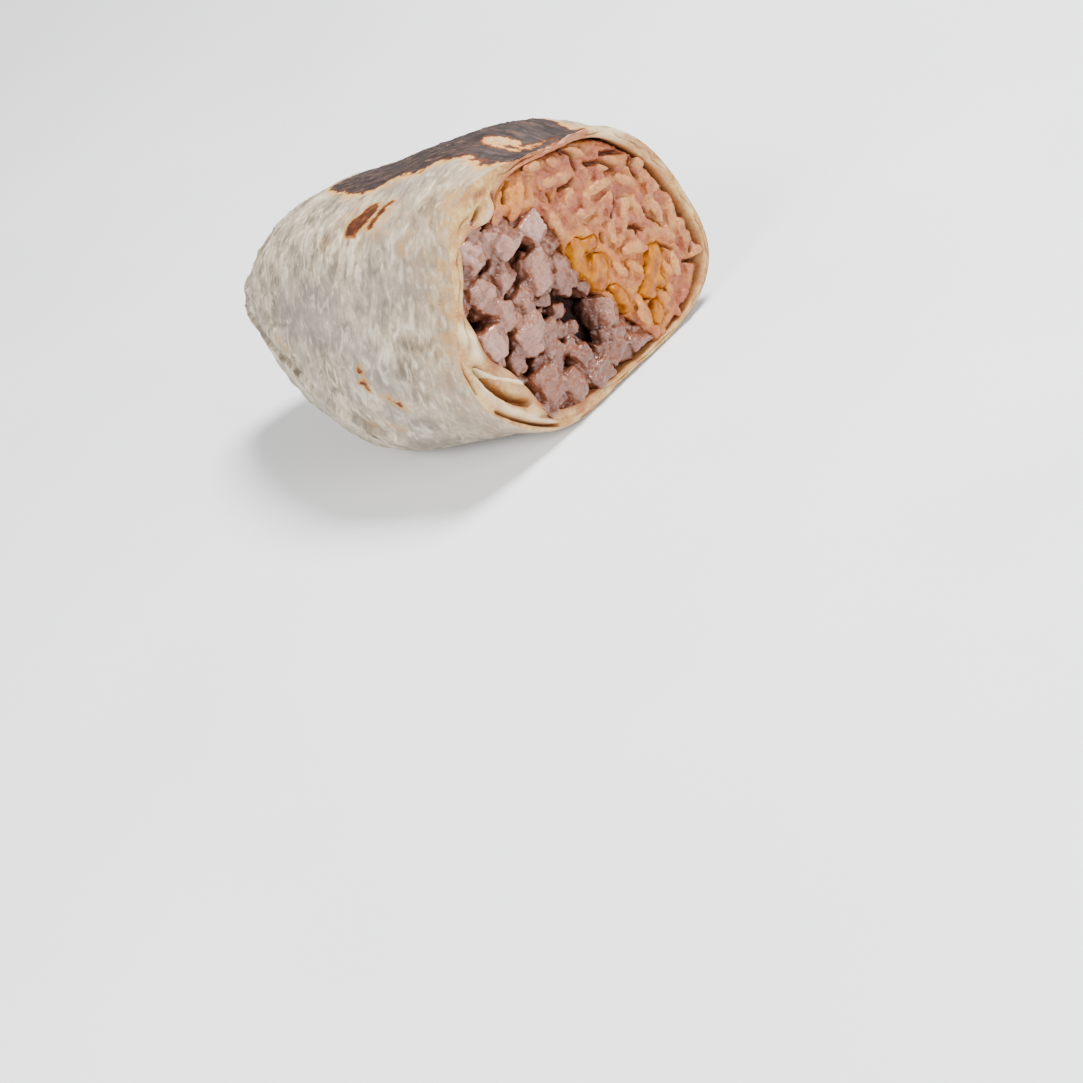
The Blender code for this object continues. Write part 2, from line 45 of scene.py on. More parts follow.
# The roll, in mm from the middle of the cut: X along it to the cut, Z up. It follows the solids
roll = {
    "shift": Vector((42.0, 0.63, 26.5)),        # from there to the part's origin
    "tip": -96.0,
    "floor": -26.5,
    "endRadius": 31.5,
    "leanY": 0.36,                              # the knife ran slanted
    "leanZ": -0.03,
    "pinch": 13.0,                              # the knife drew the edge in over this length
    "cavityEnd": -83.0,
    "fillingEnd": -81.0,
    "endWall": 4.6,
    "wallFades": (-78.0, -34.0),
    "gap": 0.35,
    "face": (-35.0, 35.0, -27.0, 35.0),         # y and z between which the whole cut lies
    "cutRadius": {0: 32.0, 45: 32.0, 62: 30.5, 76: 29.6, 90: 31.0, 118: 36.4, 150: 32.3,
                  185: 35.5, 215: 33.8, 240: 30.3, 268: 26.5, 300: 30.5, 328: 35.4},
    "bodyRadius": {0: 33.0, 30: 34.6, 46: 35.4, 76: 34.0, 90: 33.9, 118: 35.6, 150: 33.2,
                   185: 34.8, 215: 33.7, 240: 30.4, 268: 26.5, 300: 30.5, 328: 35.2},
    "wall": {0: 2.4, 30: 2.9, 45: 2.7, 62: 2.0, 90: 2.2, 104: 5.0, 116: 9.0, 128: 4.4, 142: 3.0,
             155: 2.2, 166: 4.8, 178: 7.0, 192: 9.6, 205: 8.6, 216: 6.0, 228: 4.2, 245: 3.4,
             268: 2.0, 290: 1.6, 325: 1.8, 345: 2.2},
    # x, middle y, middle z, width, height, roundness
    "stations": [
        (-96.0, 8.0, 1.5, 0.05, 0.12, 1.0), (-94.5, 8.0, 1.5, 0.15, 0.22, 1.0),
        (-90.0, 7.5, 1.0, 0.30, 0.36, 1.0), (-84.0, 6.5, 0.5, 0.46, 0.51, 0.9),
        (-76.0, 5.0, -0.5, 0.64, 0.69, 0.7), (-66.0, 3.5, -1.5, 0.80, 0.84, 0.4),
        (-54.0, 1.5, -2.0, 0.93, 0.93, 0.1), (-42.0, 0.0, -2.0, 0.98, 0.96, 0.0),
        (-30.0, 0.0, -1.0, 1.00, 0.98, 0.0), (-16.0, 0.5, 0.3, 1.00, 1.00, 0.0),
        (-6.0, 0.0, 0.0, 1.00, 1.00, 0.0), (14.0, 0.0, 0.0, 1.00, 1.00, 0.0)],
}
arcPerDegree = 0.593        # mm along the skin


def mix(a, b, amount):
    return a + (b - a) * amount


def ease(value):
    value = min(max(value, 0.0), 1.0)
    return value * value * (3.0 - 2.0 * value)


def bell(distance, width):
    return math.exp(-(distance / width) ** 2)


def hermite(x0, y0, m0, x1, y1, m1, x):
    width = x1 - x0
    s = (x - x0) / width
    return ((2 * s**3 - 3 * s**2 + 1) * y0 + (s**3 - 2 * s**2 + s) * width * m0
            + (3 * s**2 - 2 * s**3) * y1 + (s**3 - s**2) * width * m1)


@lru_cache(maxsize=None)
def around(name, angle):
    # value of one of the roll's tables at an angle
    table = roll[name]
    keys = sorted(table)
    places = [keys[-2] - 360.0, keys[-1] - 360.0] + keys + [keys[0] + 360.0, keys[1] + 360.0]
    values = [table[key % 360] for key in places]
    angle %= 360.0
    i = max(k for k in range(1, len(places) - 2) if places[k] <= angle)
    low = (values[i + 1] - values[i - 1]) / (places[i + 1] - places[i - 1])
    high = (values[i + 2] - values[i]) / (places[i + 2] - places[i])
    return hermite(places[i], values[i], low, places[i + 1], values[i + 1], high, angle)


def station(x):
    rows = roll["stations"]
    x = min(max(x, rows[0][0]), rows[-1][0])
    i = max(k for k in range(len(rows) - 1) if rows[k][0] <= x)
    before, low = rows[max(i - 1, 0)], rows[i]
    high, after = rows[i + 1], rows[min(i + 2, len(rows) - 1)]
    result = []
    for k in range(1, 6):
        m0 = (high[k] - before[k]) / (high[0] - before[0])
        m1 = (after[k] - low[k]) / (after[0] - low[0])
        result.append(hermite(low[0], low[k], m0, high[0], high[k], m1, x))
    return result


def knifeX(y, z):
    return roll["leanY"] * y + roll["leanZ"] * z


@lru_cache(maxsize=None)
def edgeX(angle):
    radius = around("cutRadius", angle)
    turn = math.radians(angle)
    return knifeX(radius * math.cos(turn), radius * math.sin(turn))


def wallAt(x, angle):
    start, end = roll["wallFades"]
    return mix(roll["endWall"], around("wall", angle), ease((x - start) / (end - start)))


def sitDown(z, inset=0.0):
    # rounds the skin softly onto the flat that it rests on
    low = roll["floor"] + inset
    soft = 0.7
    over = (z - low) / soft
    return low + soft * (over if over > 20.0 else math.log1p(math.exp(over)))


def skinPoint(x, angle, inset=0.0, share=1.0):
    middleY, middleZ, wide, high, roundness = station(x)
    pinch = 1.0 - (edgeX(angle) - x) / roll["pinch"]
    radius = mix(around("bodyRadius", angle), around("cutRadius", angle), ease(pinch))
    radius = mix(radius, roll["endRadius"], roundness)
    turn = math.radians(angle)
    y = middleY + share * (wide * radius - inset) * math.cos(turn)
    z = middleZ + share * (high * radius - inset) * math.sin(turn)
    return Vector((x, y, sitDown(z, max(inset, 0.0))))


def angleOf(y, z):
    return math.degrees(math.atan2(z, y))


def roomAt(angle):
    return around("cutRadius", angle) - around("wall", angle)


def within(x, y, z, gap):
    # a point of the cut carried back along the roll to x, inside the wrap
    angle = angleOf(y, z)
    share = min(math.hypot(y, z) / roomAt(angle), 1.0)
    return skinPoint(x, angle, wallAt(x, angle) + gap, share)


def ripple(a, b, size, seed):
    # a smooth random wave over a face, with lumps of about a size in mm
    return noise.noise(Vector((a / size, b / size, seed)))


def ringNoise(x, turn, length, reach, shift=(0.0, 0.0, 0.0)):
    # a smooth random wave that closes round the roll: its lumps have a length in mm along the
    # roll, and are narrower round it where the reach is larger
    return noise.noise(Vector((x / length + shift[0], reach * math.cos(turn) + shift[1],
                               reach * math.sin(turn) + shift[2])))


def turnFrom(start, angle):
    # the shorter way round from one angle to another
    return (angle - start + 180.0) % 360.0 - 180.0


def leaned(dy, dz, lean):
    # an offset across the cut, along the axes of a shape that leans by some degrees
    c, s = math.cos(math.radians(lean)), math.sin(math.radians(lean))
    return dy * c + dz * s, dz * c - dy * s


def segmentDistance(point, a, b):
    run = (b[0] - a[0], b[1] - a[1])
    length = run[0] ** 2 + run[1] ** 2
    share = ((point[0] - a[0]) * run[0] + (point[1] - a[1]) * run[1]) / length if length else 0.0
    share = min(max(share, 0.0), 1.0)
    return math.hypot(point[0] - a[0] - share * run[0], point[1] - a[1] - share * run[1])


def lineDistance(point, line):
    return min(segmentDistance(point, a, b) for a, b in zip(line, line[1:]))


def skinDistance(x, angle, a, b):
    # distance over the skin from (x, angle) to a stroke between two such places, in mm
    farAway = 20.0
    if min(abs(a[0] - x), abs(b[0] - x)) > farAway:
        return farAway
    start = turnFrom(angle, a[1])
    end = start + turnFrom(a[1], b[1])
    return segmentDistance((x, 0.0), (a[0], start * arcPerDegree), (b[0], end * arcPerDegree))


def addPiece(name, bm, materials, node=None):
    # puts a bmesh made in mm where it belongs, in metres
    bmesh.ops.translate(bm, verts=bm.verts, vec=roll["shift"])
    bmesh.ops.scale(bm, verts=bm.verts, vec=(mm, mm, mm))
    mesh = bpy.data.meshes.new(name)
    bm.to_mesh(mesh)
    bm.free()
    mesh.shade_smooth()
    made = bpy.data.objects.new(name, mesh)
    bpy.context.scene.collection.objects.link(made)
    for finish in materials:
        mesh.materials.append(finish)
    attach(made, "root")
    if node:
        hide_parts(node)
    return made


def wrapGrid(rows, columns, place, names=(), slotOf=None):
    # a grid closed into a skin: rows run from pole to pole and columns go once round
    bm = bmesh.new()
    bmesh.ops.create_grid(bm, x_segments=rows, y_segments=columns, size=1.0)
    surface = bm.loops.layers.uv.new("surface")
    layers = [bm.verts.layers.float.new(name) for name in names]
    for face in bm.faces:
        if slotOf:
            face.material_index = slotOf((face.calc_center_median().x + 1.0) / 2.0 * rows)
    flat = {}
    for vert in bm.verts:
        row, column = round((vert.co.x + 1) / 2 * rows), round((vert.co.y + 1) / 2 * columns)
        vert.co, values, flat[vert] = place(row, column)
        for layer, value in zip(layers, values):
            vert[layer] = value
    for face in bm.faces:
        for loop in face.loops:
            loop[surface].uv = flat[loop.vert]
    bmesh.ops.remove_doubles(bm, verts=bm.verts, dist=1e-4)
    bmesh.ops.recalc_face_normals(bm, faces=bm.faces)
    return bm


# Materials: hex colours are sRGB, and a pattern's size is given in mm
def linear(code):
    channels = [int(code[i:i + 2], 16) / 255.0 for i in (1, 3, 5)]
    return (*(c / 12.92 if c <= 0.04045 else ((c + 0.055) / 1.055) ** 2.4 for c in channels), 1.0)


def perMm(size):
    return 1.0 / (size * mm)


def addNode(tree, kind, inputs=None, stops=None, **settings):
    node = tree.nodes.new("ShaderNode" + kind)
    for key, value in settings.items():
        setattr(node, key, value)
    for key, value in (inputs or {}).items():
        target = node.inputs[key] if isinstance(key, int) else next(
            socket for socket in node.inputs if socket.name == key and socket.enabled)
        if isinstance(value, bpy.types.Node):
            value = next(socket for socket in value.outputs if socket.enabled)
        if isinstance(value, bpy.types.NodeSocket):
            tree.links.new(value, target)
        elif isinstance(value, str):
            target.default_value = linear(value)
        else:
            target.default_value = value
    if stops:
        ramp = node.color_ramp
        ramp.elements[0].position, ramp.elements[0].color = stops[0][0], linear(stops[0][1])
        ramp.elements[1].position, ramp.elements[1].color = stops[-1][0], linear(stops[-1][1])
        for spot, code in stops[1:-1]:
            ramp.elements.new(spot).color = linear(code)
    return node


def newMaterial(name, constants):
    made = bpy.data.materials.new(name)
    made.use_nodes = True
    shader = made.node_tree.nodes["Principled BSDF"]
    for key, value in constants.items():
        shader.inputs[key].default_value = value
    return made, made.node_tree, shader


def flourSkin():
    # Flour tortilla, griddled: dry and matt, milky with greyer see-through areas, and fine
    # wrinkles round the roll. The griddle scorched one band and a few raised spots
    made, tree, shader = newMaterial("flour tortilla skin", {
        "Roughness": 0.6, "IOR": 1.45, "Specular IOR Level": 0.3})
    place = addNode(tree, "TexCoord").outputs["Object"]
    surface = addNode(tree, "UVMap", uv_map="surface")
    along = addNode(tree, "Mapping", {"Vector": surface, "Scale": (perMm(5.0), perMm(2.4), 1.0)})
    thin = addNode(tree, "Mapping", {"Vector": surface, "Scale": (perMm(2.6), perMm(1.0), 1.0)})
    scratch = addNode(tree, "Mapping", {"Vector": surface, "Scale": (perMm(1.2), perMm(6.0), 1.0)})
    mottle = addNode(tree, "TexNoise", {
        "Vector": place, "Scale": perMm(6.5), "Detail": 5.0, "Roughness": 0.62})
    cloud = addNode(tree, "TexNoise", {"Vector": place, "Scale": perMm(22.0), "Detail": 3.0})
    fleck = addNode(tree, "TexNoise", {"Vector": place, "Scale": perMm(2.2), "Detail": 3.0})
    streak = addNode(tree, "TexNoise", {
        "Vector": along, "Scale": 1.0, "Detail": 3.0, "Roughness": 0.58, "Distortion": 1.3})
    hair = addNode(tree, "TexNoise", {"Vector": thin, "Scale": 1.0, "Detail": 2.0, "Distortion": 0.4})
    scar = addNode(tree, "TexNoise", {"Vector": scratch, "Scale": 1.0, "Detail": 3.0, "Roughness": 0.6})
    tip = addNode(tree, "Attribute", attribute_name="tip").outputs["Fac"]
    streak = addNode(tree, "Mix", {"Factor": tip, "A": streak, "B": fleck})
    hair = addNode(tree, "Mix", {"Factor": tip, "A": hair, "B": mottle})

    milky = addNode(tree, "Math", {0: mottle, 1: 0.58, 2: addNode(
        tree, "Math", {0: streak, 1: 0.42}, operation="MULTIPLY")}, operation="MULTIPLY_ADD")
    base = addNode(tree, "ValToRGB", {"Fac": milky}, stops=[
        (0.37, "#62574a"), (0.44, "#847866"), (0.49, "#9f917a"), (0.54, "#b2a48c"), (0.61, "#cbbfa7")])
    for source, start, end, most, colour in (
            (cloud, 0.44, 0.62, 0.6, "#8b827a"), (streak, 0.55, 0.68, 0.42, "#dad1bd"),
            (hair, 0.50, 0.34, 0.28, "#72675a")):
        share = addNode(tree, "MapRange", {
            "Value": source, "From Min": start, "From Max": end, "To Max": most})
        base = addNode(tree, "Mix", {"Factor": share, "A": base, "B": colour}, data_type="RGBA")

    tan = addNode(tree, "Attribute", attribute_name="tan").outputs["Fac"]
    broken = addNode(tree, "Math", {0: tan, 1: addNode(tree, "MapRange", {
        "Value": fleck, "From Min": 0.25, "From Max": 0.7})}, operation="MULTIPLY")
    base = addNode(tree, "Mix", {"Factor": broken, "A": base, "B": "#ad8452"}, data_type="RGBA")

    ragged = addNode(tree, "Math", {0: addNode(tree, "Math", {0: fleck, 1: scar}, operation="ADD"),
                                    1: 1.0}, operation="SUBTRACT")
    spot = addNode(tree, "Math", {0: ragged, 1: 2.0, 2: addNode(
        tree, "Attribute", attribute_name="spot").outputs["Fac"]}, operation="MULTIPLY_ADD")
    sear = addNode(tree, "Math", {0: ragged, 1: 3.6, 2: addNode(
        tree, "Attribute", attribute_name="sear").outputs["Fac"]}, operation="MULTIPLY_ADD")
    patchy = addNode(tree, "Math", {0: mottle, 1: 5.0, 2: -2.5}, operation="MULTIPLY_ADD")
    sear = addNode(tree, "Math", {0: sear, 1: patchy}, operation="ADD")
    scorched = addNode(tree, "ValToRGB", {"Fac": scar}, stops=[
        (0.34, "#231b1a"), (0.50, "#342a28"), (0.62, "#4a3832"), (0.72, "#80512f")])
    toasted = addNode(tree, "ValToRGB", {"Fac": fleck}, stops=[
        (0.35, "#33180b"), (0.55, "#4d2613"), (0.70, "#6b3c1b")])
    for amount, steps in (
            (spot, ((-0.7, 0.2, "#b08040"), (-0.05, 0.45, "#7d4720"), (0.2, 0.6, toasted))),
            (sear, ((-2.4, 0.0, "#c69550"), (-0.3, 0.35, "#9a5822"), (0.1, 0.6, "#4c2210"),
                    (0.5, 1.3, scorched)))):
        for start, end, colour in steps:
            share = addNode(tree, "MapRange", {"Value": amount, "From Min": start, "From Max": end})
            base = addNode(tree, "Mix", {"Factor": share, "A": base, "B": colour}, data_type="RGBA")
    tree.links.new(base.outputs[2], shader.inputs["Base Color"])

    height = addNode(tree, "Math", {0: streak, 1: 1.0, 2: hair}, operation="MULTIPLY_ADD")
    height = addNode(tree, "Math", {0: fleck, 1: 0.6, 2: height}, operation="MULTIPLY_ADD")
    bump = addNode(tree, "Bump", {"Height": height, "Strength": 0.4, "Distance": 0.35 * mm})
    tree.links.new(bump.outputs[0], shader.inputs["Normal"])
    return made


def cutTortilla():
    # The same tortilla where the knife went through: warm, floury and a little moist
    made, tree, shader = newMaterial("cut tortilla crumb", {
        "Roughness": 0.48, "IOR": 1.45, "Subsurface Weight": 0.06,
        "Subsurface Radius": (1.6 * mm, 1.0 * mm, 0.6 * mm)})
    place = addNode(tree, "TexCoord").outputs["Object"]
    patch = addNode(tree, "TexNoise", {"Vector": place, "Scale": perMm(4.5), "Detail": 3.0, "Roughness": 0.6})
    speckle = addNode(tree, "TexNoise", {"Vector": place, "Scale": perMm(0.7), "Detail": 2.0})
    base = addNode(tree, "ValToRGB", {"Fac": patch}, stops=[
        (0.34, "#9b6531"), (0.50, "#b28544"), (0.64, "#c6a66d")])
    white = addNode(tree, "MapRange", {"Value": speckle, "From Min": 0.5, "From Max": 0.75, "To Max": 0.45})
    layers = [(white, "#dcc699")]
    # the slits and the lines between layers are painted dark brown, as shade in the gaps
    for name, colour in (("pale", "#ddcca4"), ("stain", "#985733"), ("slitShade", "#7a3d16")):
        layers.append((addNode(tree, "Attribute", attribute_name=name).outputs["Fac"], colour))
    for share, colour in layers:
        base = addNode(tree, "Mix", {"Factor": share, "A": base, "B": colour}, data_type="RGBA")
    tree.links.new(base.outputs[2], shader.inputs["Base Color"])
    bump = addNode(tree, "Bump", {"Height": speckle, "Strength": 0.4, "Distance": 0.2 * mm})
    tree.links.new(bump.outputs[0], shader.inputs["Normal"])
    return made


def coatedRice():
    # Long-grain rice cooked in a tomato sauce: soft, moist grains pressed into a pinkish mash
    made, tree, shader = newMaterial("sauce coated rice", {
        "Roughness": 0.48, "IOR": 1.42, "Coat Weight": 0.1, "Coat Roughness": 0.14,
        "Subsurface Weight": 0.04, "Subsurface Radius": (1.8 * mm, 0.9 * mm, 0.5 * mm)})
    place = addNode(tree, "TexCoord").outputs["Object"]
    tone = addNode(tree, "Attribute", attribute_name="tone").outputs["Fac"]
    coat = addNode(tree, "TexNoise", {"Vector": place, "Scale": perMm(3.0), "Detail": 4.0})
    speckle = addNode(tree, "TexNoise", {"Vector": place, "Scale": perMm(0.8), "Detail": 2.0})
    base = addNode(tree, "ValToRGB", {"Fac": tone}, stops=[
        (0.0, "#8f482c"), (0.4, "#9b5632"), (0.75, "#a86a38"), (1.0, "#b87e45")])
    sauce = addNode(tree, "MapRange", {"Value": coat, "From Min": 0.48, "From Max": 0.66, "To Max": 0.75})
    cheesy = addNode(tree, "Attribute", attribute_name="cheesy").outputs["Fac"]
    deep = addNode(tree, "Attribute", attribute_name="deep").outputs["Fac"]
    mealy = addNode(tree, "MapRange", {"Value": speckle, "From Min": 0.46, "From Max": 0.32, "To Max": 0.4})
    glint = addNode(tree, "MapRange", {"Value": speckle, "From Min": 0.62, "From Max": 0.8, "To Max": 0.35})
    # deep is painted shade with some browning: cracks and hollows behind the knife's plane are coloured dark
    # brown
    for share, colour in ((sauce, "#924a30"), (cheesy, "#c27616"), (deep, "#4a1d0d"),
                          (mealy, "#7c3d26"), (glint, "#dcb084")):
        base = addNode(tree, "Mix", {"Factor": share, "A": base, "B": colour}, data_type="RGBA")
    tree.links.new(base.outputs[2], shader.inputs["Base Color"])
    bump = addNode(tree, "Bump", {"Height": speckle, "Strength": 0.7, "Distance": 0.3 * mm})
    tree.links.new(bump.outputs[0], shader.inputs["Normal"])
    return made


def dicedSteak():
    # Grilled and diced beef: greyish mauve, grainy where the fibres are cut, wet with juice
    made, tree, shader = newMaterial("diced grilled steak", {
        "Roughness": 0.4, "IOR": 1.42, "Coat Roughness": 0.12,
        "Subsurface Weight": 0.04, "Subsurface Radius": (1.6 * mm, 0.6 * mm, 0.5 * mm)})
    place = addNode(tree, "TexCoord").outputs["Object"]
    tone = addNode(tree, "Attribute", attribute_name="tone").outputs["Fac"]
    patch = addNode(tree, "TexNoise", {"Vector": place, "Scale": perMm(4.0), "Detail": 3.0})
    grain = addNode(tree, "TexNoise", {
        "Vector": place, "Scale": perMm(0.9), "Detail": 3.0, "Roughness": 0.65})
    base = addNode(tree, "ValToRGB", {"Fac": tone}, stops=[
        (0.0, "#592b14"), (0.35, "#754128"), (0.65, "#8f5e49"), (1.0, "#a57b6d")])
    brown = addNode(tree, "MapRange", {"Value": patch, "From Min": 0.50, "From Max": 0.66, "To Max": 0.55})
    dark = addNode(tree, "MapRange", {"Value": grain, "From Min": 0.48, "From Max": 0.32, "To Max": 0.5})
    pale = addNode(tree, "MapRange", {"Value": grain, "From Min": 0.56, "From Max": 0.72, "To Max": 0.4})
    # deep is painted shade: the gaps between the pieces and the meat behind them are coloured near black
    deep = addNode(tree, "Attribute", attribute_name="deep").outputs["Fac"]
    for share, colour in ((brown, "#804a33"), (dark, "#4e2d27"), (pale, "#ba917f"), (deep, "#1a0d0e")):
        base = addNode(tree, "Mix", {"Factor": share, "A": base, "B": colour}, data_type="RGBA")
    # the juice lies on the pieces that stand out, and the gaps are dull
    for setting, start, end, most, least in (
            ("Coat Weight", 0.2, 0.8, 0.7, 0.0), ("Specular IOR Level", 0.3, 0.9, 0.5, 0.1)):
        wet = addNode(tree, "MapRange", {
            "Value": deep, "From Min": start, "From Max": end, "To Min": most, "To Max": least})
        tree.links.new(wet.outputs[0], shader.inputs[setting])
    tree.links.new(base.outputs[2], shader.inputs["Base Color"])
    bump = addNode(tree, "Bump", {"Height": grain, "Strength": 0.8, "Distance": 0.4 * mm})
    tree.links.new(bump.outputs[0], shader.inputs["Normal"])
    return made


def meltedCheddar():
    # Melted cheddar: smooth and a little oily
    made, tree, shader = newMaterial("melted cheddar", {
        "Roughness": 0.36, "IOR": 1.4, "Specular IOR Level": 0.25,
        "Coat Weight": 0.12, "Coat Roughness": 0.06})
    place = addNode(tree, "TexCoord").outputs["Object"]
    patch = addNode(tree, "TexNoise", {"Vector": place, "Scale": perMm(2.6), "Detail": 3.0})
    base = addNode(tree, "ValToRGB", {"Fac": patch}, stops=[
        (0.34, "#824200"), (0.48, "#995600"), (0.62, "#ab6a02")])
    tree.links.new(base.outputs[0], shader.inputs["Base Color"])
    bump = addNode(tree, "Bump", {"Height": patch, "Strength": 0.3, "Distance": 0.6 * mm})
    tree.links.new(bump.outputs[0], shader.inputs["Normal"])
    return made


def paleTable():
    # A plain matt surface, a little cloudy
    made, tree, shader = newMaterial("pale matt table", {"Roughness": 0.55})
    place = addNode(tree, "TexCoord").outputs["Object"]
    cloud = addNode(tree, "TexNoise", {"Vector": place, "Scale": perMm(90.0), "Detail": 2.0})
    base = addNode(tree, "ValToRGB", {"Fac": cloud}, stops=[(0.3, "#ebecee"), (0.7, "#f2f3f4")])
    tree.links.new(base.outputs[0], shader.inputs["Base Color"])
    return made


# The wrap: one closed skin from the folded end over the outside, across the cut and back inside
tortilla = {
    "tipRows": 6, "skinRows": 206, "rimRows": 44, "wallRows": 12, "endRows": 4, "columns": 340,
    "tucks": ((0.8, 5.0, 0.6), (0.5, 8.0, 2.0)),        # height, count round, phase
    "tuckLength": 40.0,
    # where the sheet's edge runs down the folded end: x, angle
    "foldLine": [(-92.0, 150.0), (-84.0, 158.0), (-79.7, 162.0), (-66.5, 170.0), (-56.9, 178.0),
                 (-49.7, 185.0), (-43.0, 195.0), (-34.0, 212.0)],
    "foldStep": 1.1,
    # soft lumps: height, length along, reach, shift
    "lumps": [(0.55, 16.0, 1.9, (0.0, 0.0, 0.0)), (0.30, 6.0, 4.0, (0.0, 0.0, 7.0))],
    "wrinkle": 0.20, "grain": 0.07, "crumple": 0.45, "crumpleLength": 26.0,
    # ridges and dents: from, to (x, angle), half width, height
    "creases": [
        ((-13.4, 146.0), (-12.4, 158.0), 0.55, 0.45), ((-90.0, 128.0), (-81.0, 141.0), 0.8, 0.5),
        ((-86.0, 118.0), (-78.0, 116.0), 0.6, -0.4), ((-74.0, 134.0), (-67.0, 140.0), 0.7, -0.45),
        ((-70.0, 152.0), (-60.0, 149.0), 0.6, -0.35), ((-88.0, 80.0), (-74.0, 86.0), 1.0, 0.5),
        ((-84.0, 40.0), (-70.0, 52.0), 0.9, -0.5), ((-90.0, 0.0), (-76.0, -8.0), 0.9, 0.5),
        ((-82.0, 330.0), (-64.0, 322.0), 0.9, -0.4), ((-32.0, 113.0), (-28.0, 111.0), 0.4, 0.3),
        ((-93.0, 25.0), (-80.0, 36.0), 0.7, -0.9), ((-93.0, 62.0), (-82.0, 66.0), 0.6, -0.8),
        ((-93.0, 340.0), (-78.0, 346.0), 0.7, -0.9), ((-92.0, 100.0), (-85.0, 98.0), 0.6, -0.7),
        ((-93.0, 298.0), (-80.0, 306.0), 0.8, -0.8)],
}

# The scorched band and the toasted spots, over the skin: x, angle
scorch = {
    "middle": 73.5,
    "halfWidth": 11.4,
    "start": -60.0,
    "farOutside": -6.0,
    "bites": [((-15.5, 94.6), (-10.5, 92.8), 0.7), ((-9.4, 79.5), (-4.4, 78.8), 0.9),
              ((-3.2, 82.0), (1.4, 69.0), 0.55), ((-44.0, 60.0), (-39.0, 57.0), 2.4)],
    "extras": [((-9.9, 93.8), (-9.2, 93.2), 0.9), ((-6.8, 95.0), (-2.0, 92.0), 1.1)],
    "spots": [
        ((-36.6, 114.6), (-33.4, 109.6), 2.6), ((-31.6, 116.6), (-27.6, 108.2), 1.05),
        ((-39.6, 165.6), (-39.6, 167.8), 0.55), ((-40.3, 171.0), (-38.4, 175.0), 0.6),
        ((-34.2, 181.0), (-32.4, 184.0), 0.4), ((-52.0, 14.0), (-50.0, 21.0), 0.7),
        ((-30.4, 2.0), (-28.0, -3.0), 0.45)],
    "faint": [
        ((-21.9, 128.4), (-21.0, 131.0), 1.1), ((-19.9, 126.9), (-19.4, 123.0), 0.9),
        ((-11.0, 140.0), (-11.5, 168.0), 3.6), ((-9.4, 115.0), (-7.0, 128.0), 2.6),
        ((-38.5, 193.0), (-36.0, 196.0), 1.2), ((-45.7, 117.3), (-45.0, 119.0), 0.9),
        ((-44.3, 190.0), (-43.0, 193.0), 1.0), ((-35.0, 179.0), (-31.0, 186.0), 1.5),
        ((-56.0, 84.0), (-30.0, 97.0), 1.4), ((-70.0, 160.0), (-66.0, 164.0), 1.6),
        ((-38.0, 108.0), (-28.0, 116.0), 5.2), ((-60.0, -88.0), (-16.0, -92.0), 12.0),
        ((-44.0, 22.0), (-16.0, 14.0), 5.0), ((-52.0, 12.0), (-50.0, 23.0), 2.2),
        ((-62.0, -20.0), (-60.0, -12.0), 1.4), ((-12.0, -14.0), (-9.0, -18.0), 1.6),
        ((-22.0, 30.0), (-20.0, 36.0), 1.2)],
}

# The cut face of the wrap, as y, z lines with a half width: gaps between its layers that go in
# by a depth, and the edges of layers that stand out
cutFace = {
    "slits": [
        ([(-33.7, 4.9), (-33.9, 2.7), (-34.0, 0.4), (-34.0, -1.7), (-34.1, -3.4)], 0.25, 1.6),
        ([(-31.4, 0.8), (-31.3, -1.6), (-30.5, -4.6), (-29.0, -8.2), (-26.8, -11.5), (-24.8, -13.8)],
         0.7, 3.4),
        ([(-32.2, -10.0), (-29.5, -14.2), (-26.5, -18.0), (-24.4, -20.2), (-21.6, -22.6)], 0.32, 3.0),
        ([(-12.9, 27.8), (-14.4, 26.9), (-15.7, 26.4)], 0.45, 2.4),
        ([(-8.6, 28.8), (-9.5, 26.4), (-10.6, 24.0)], 0.3, 1.8),
        ([(-16.0, -25.4), (-12.8, -26.0), (-6.0, -26.2)], 0.22, 1.4)],
    "ridges": [
        ([(-32.2, -1.2), (-32.3, -4.0), (-31.6, -7.6), (-29.3, -12.4), (-26.0, -16.8), (-22.4, -21.0)],
         0.9, 0.55),
        ([(-30.6, 9.6), (-29.6, 6.0), (-29.8, 3.0)], 1.7, 0.8),
        ([(12.4, 28.0), (15.8, 26.4), (19.0, 24.8)], 1.5, 0.7), ([(23.2, 21.4), (27.4, 16.2)], 0.6, 0.3),
        ([(-9.6, 26.4), (-12.0, 25.2), (-14.6, 24.0)], 1.1, 0.6)],
    "puff": 0.28,
    "lumps": [(0.55, 2.6, 1.0), (0.18, 0.9, 21.0)],     # height, size, seed
    # a broken line between two layers, sunk and painted with shade: half width and wander in shares of the
    # wall, depth
    "layer": {"half": 0.07, "wander": 0.3, "deep": 0.5},
    # the filling that the knife dragged over the edge: from and to (degrees), how soon each fades
    "smear": {"start": 51.0, "end": 98.0, "startFades": 6.0, "endFades": 8.0},
    # middle and half width in degrees, strength
    "faintSmear": (24.0, 7.0, 0.6),
    # makes the low part of the cut edge darker
    "lowDarker": (225.0, 34.0, 0.22),
    "paleEdge": (42.0, 8.0, 0.7),
}


def foldAngle(x):
    line = tortilla["foldLine"]
    for (x0, a0), (x1, a1) in zip(line, line[1:]):
        if x <= x1:
            return mix(a0, a1, min(max((x - x0) / (x1 - x0), 0.0), 1.0))
    return line[-1][1]


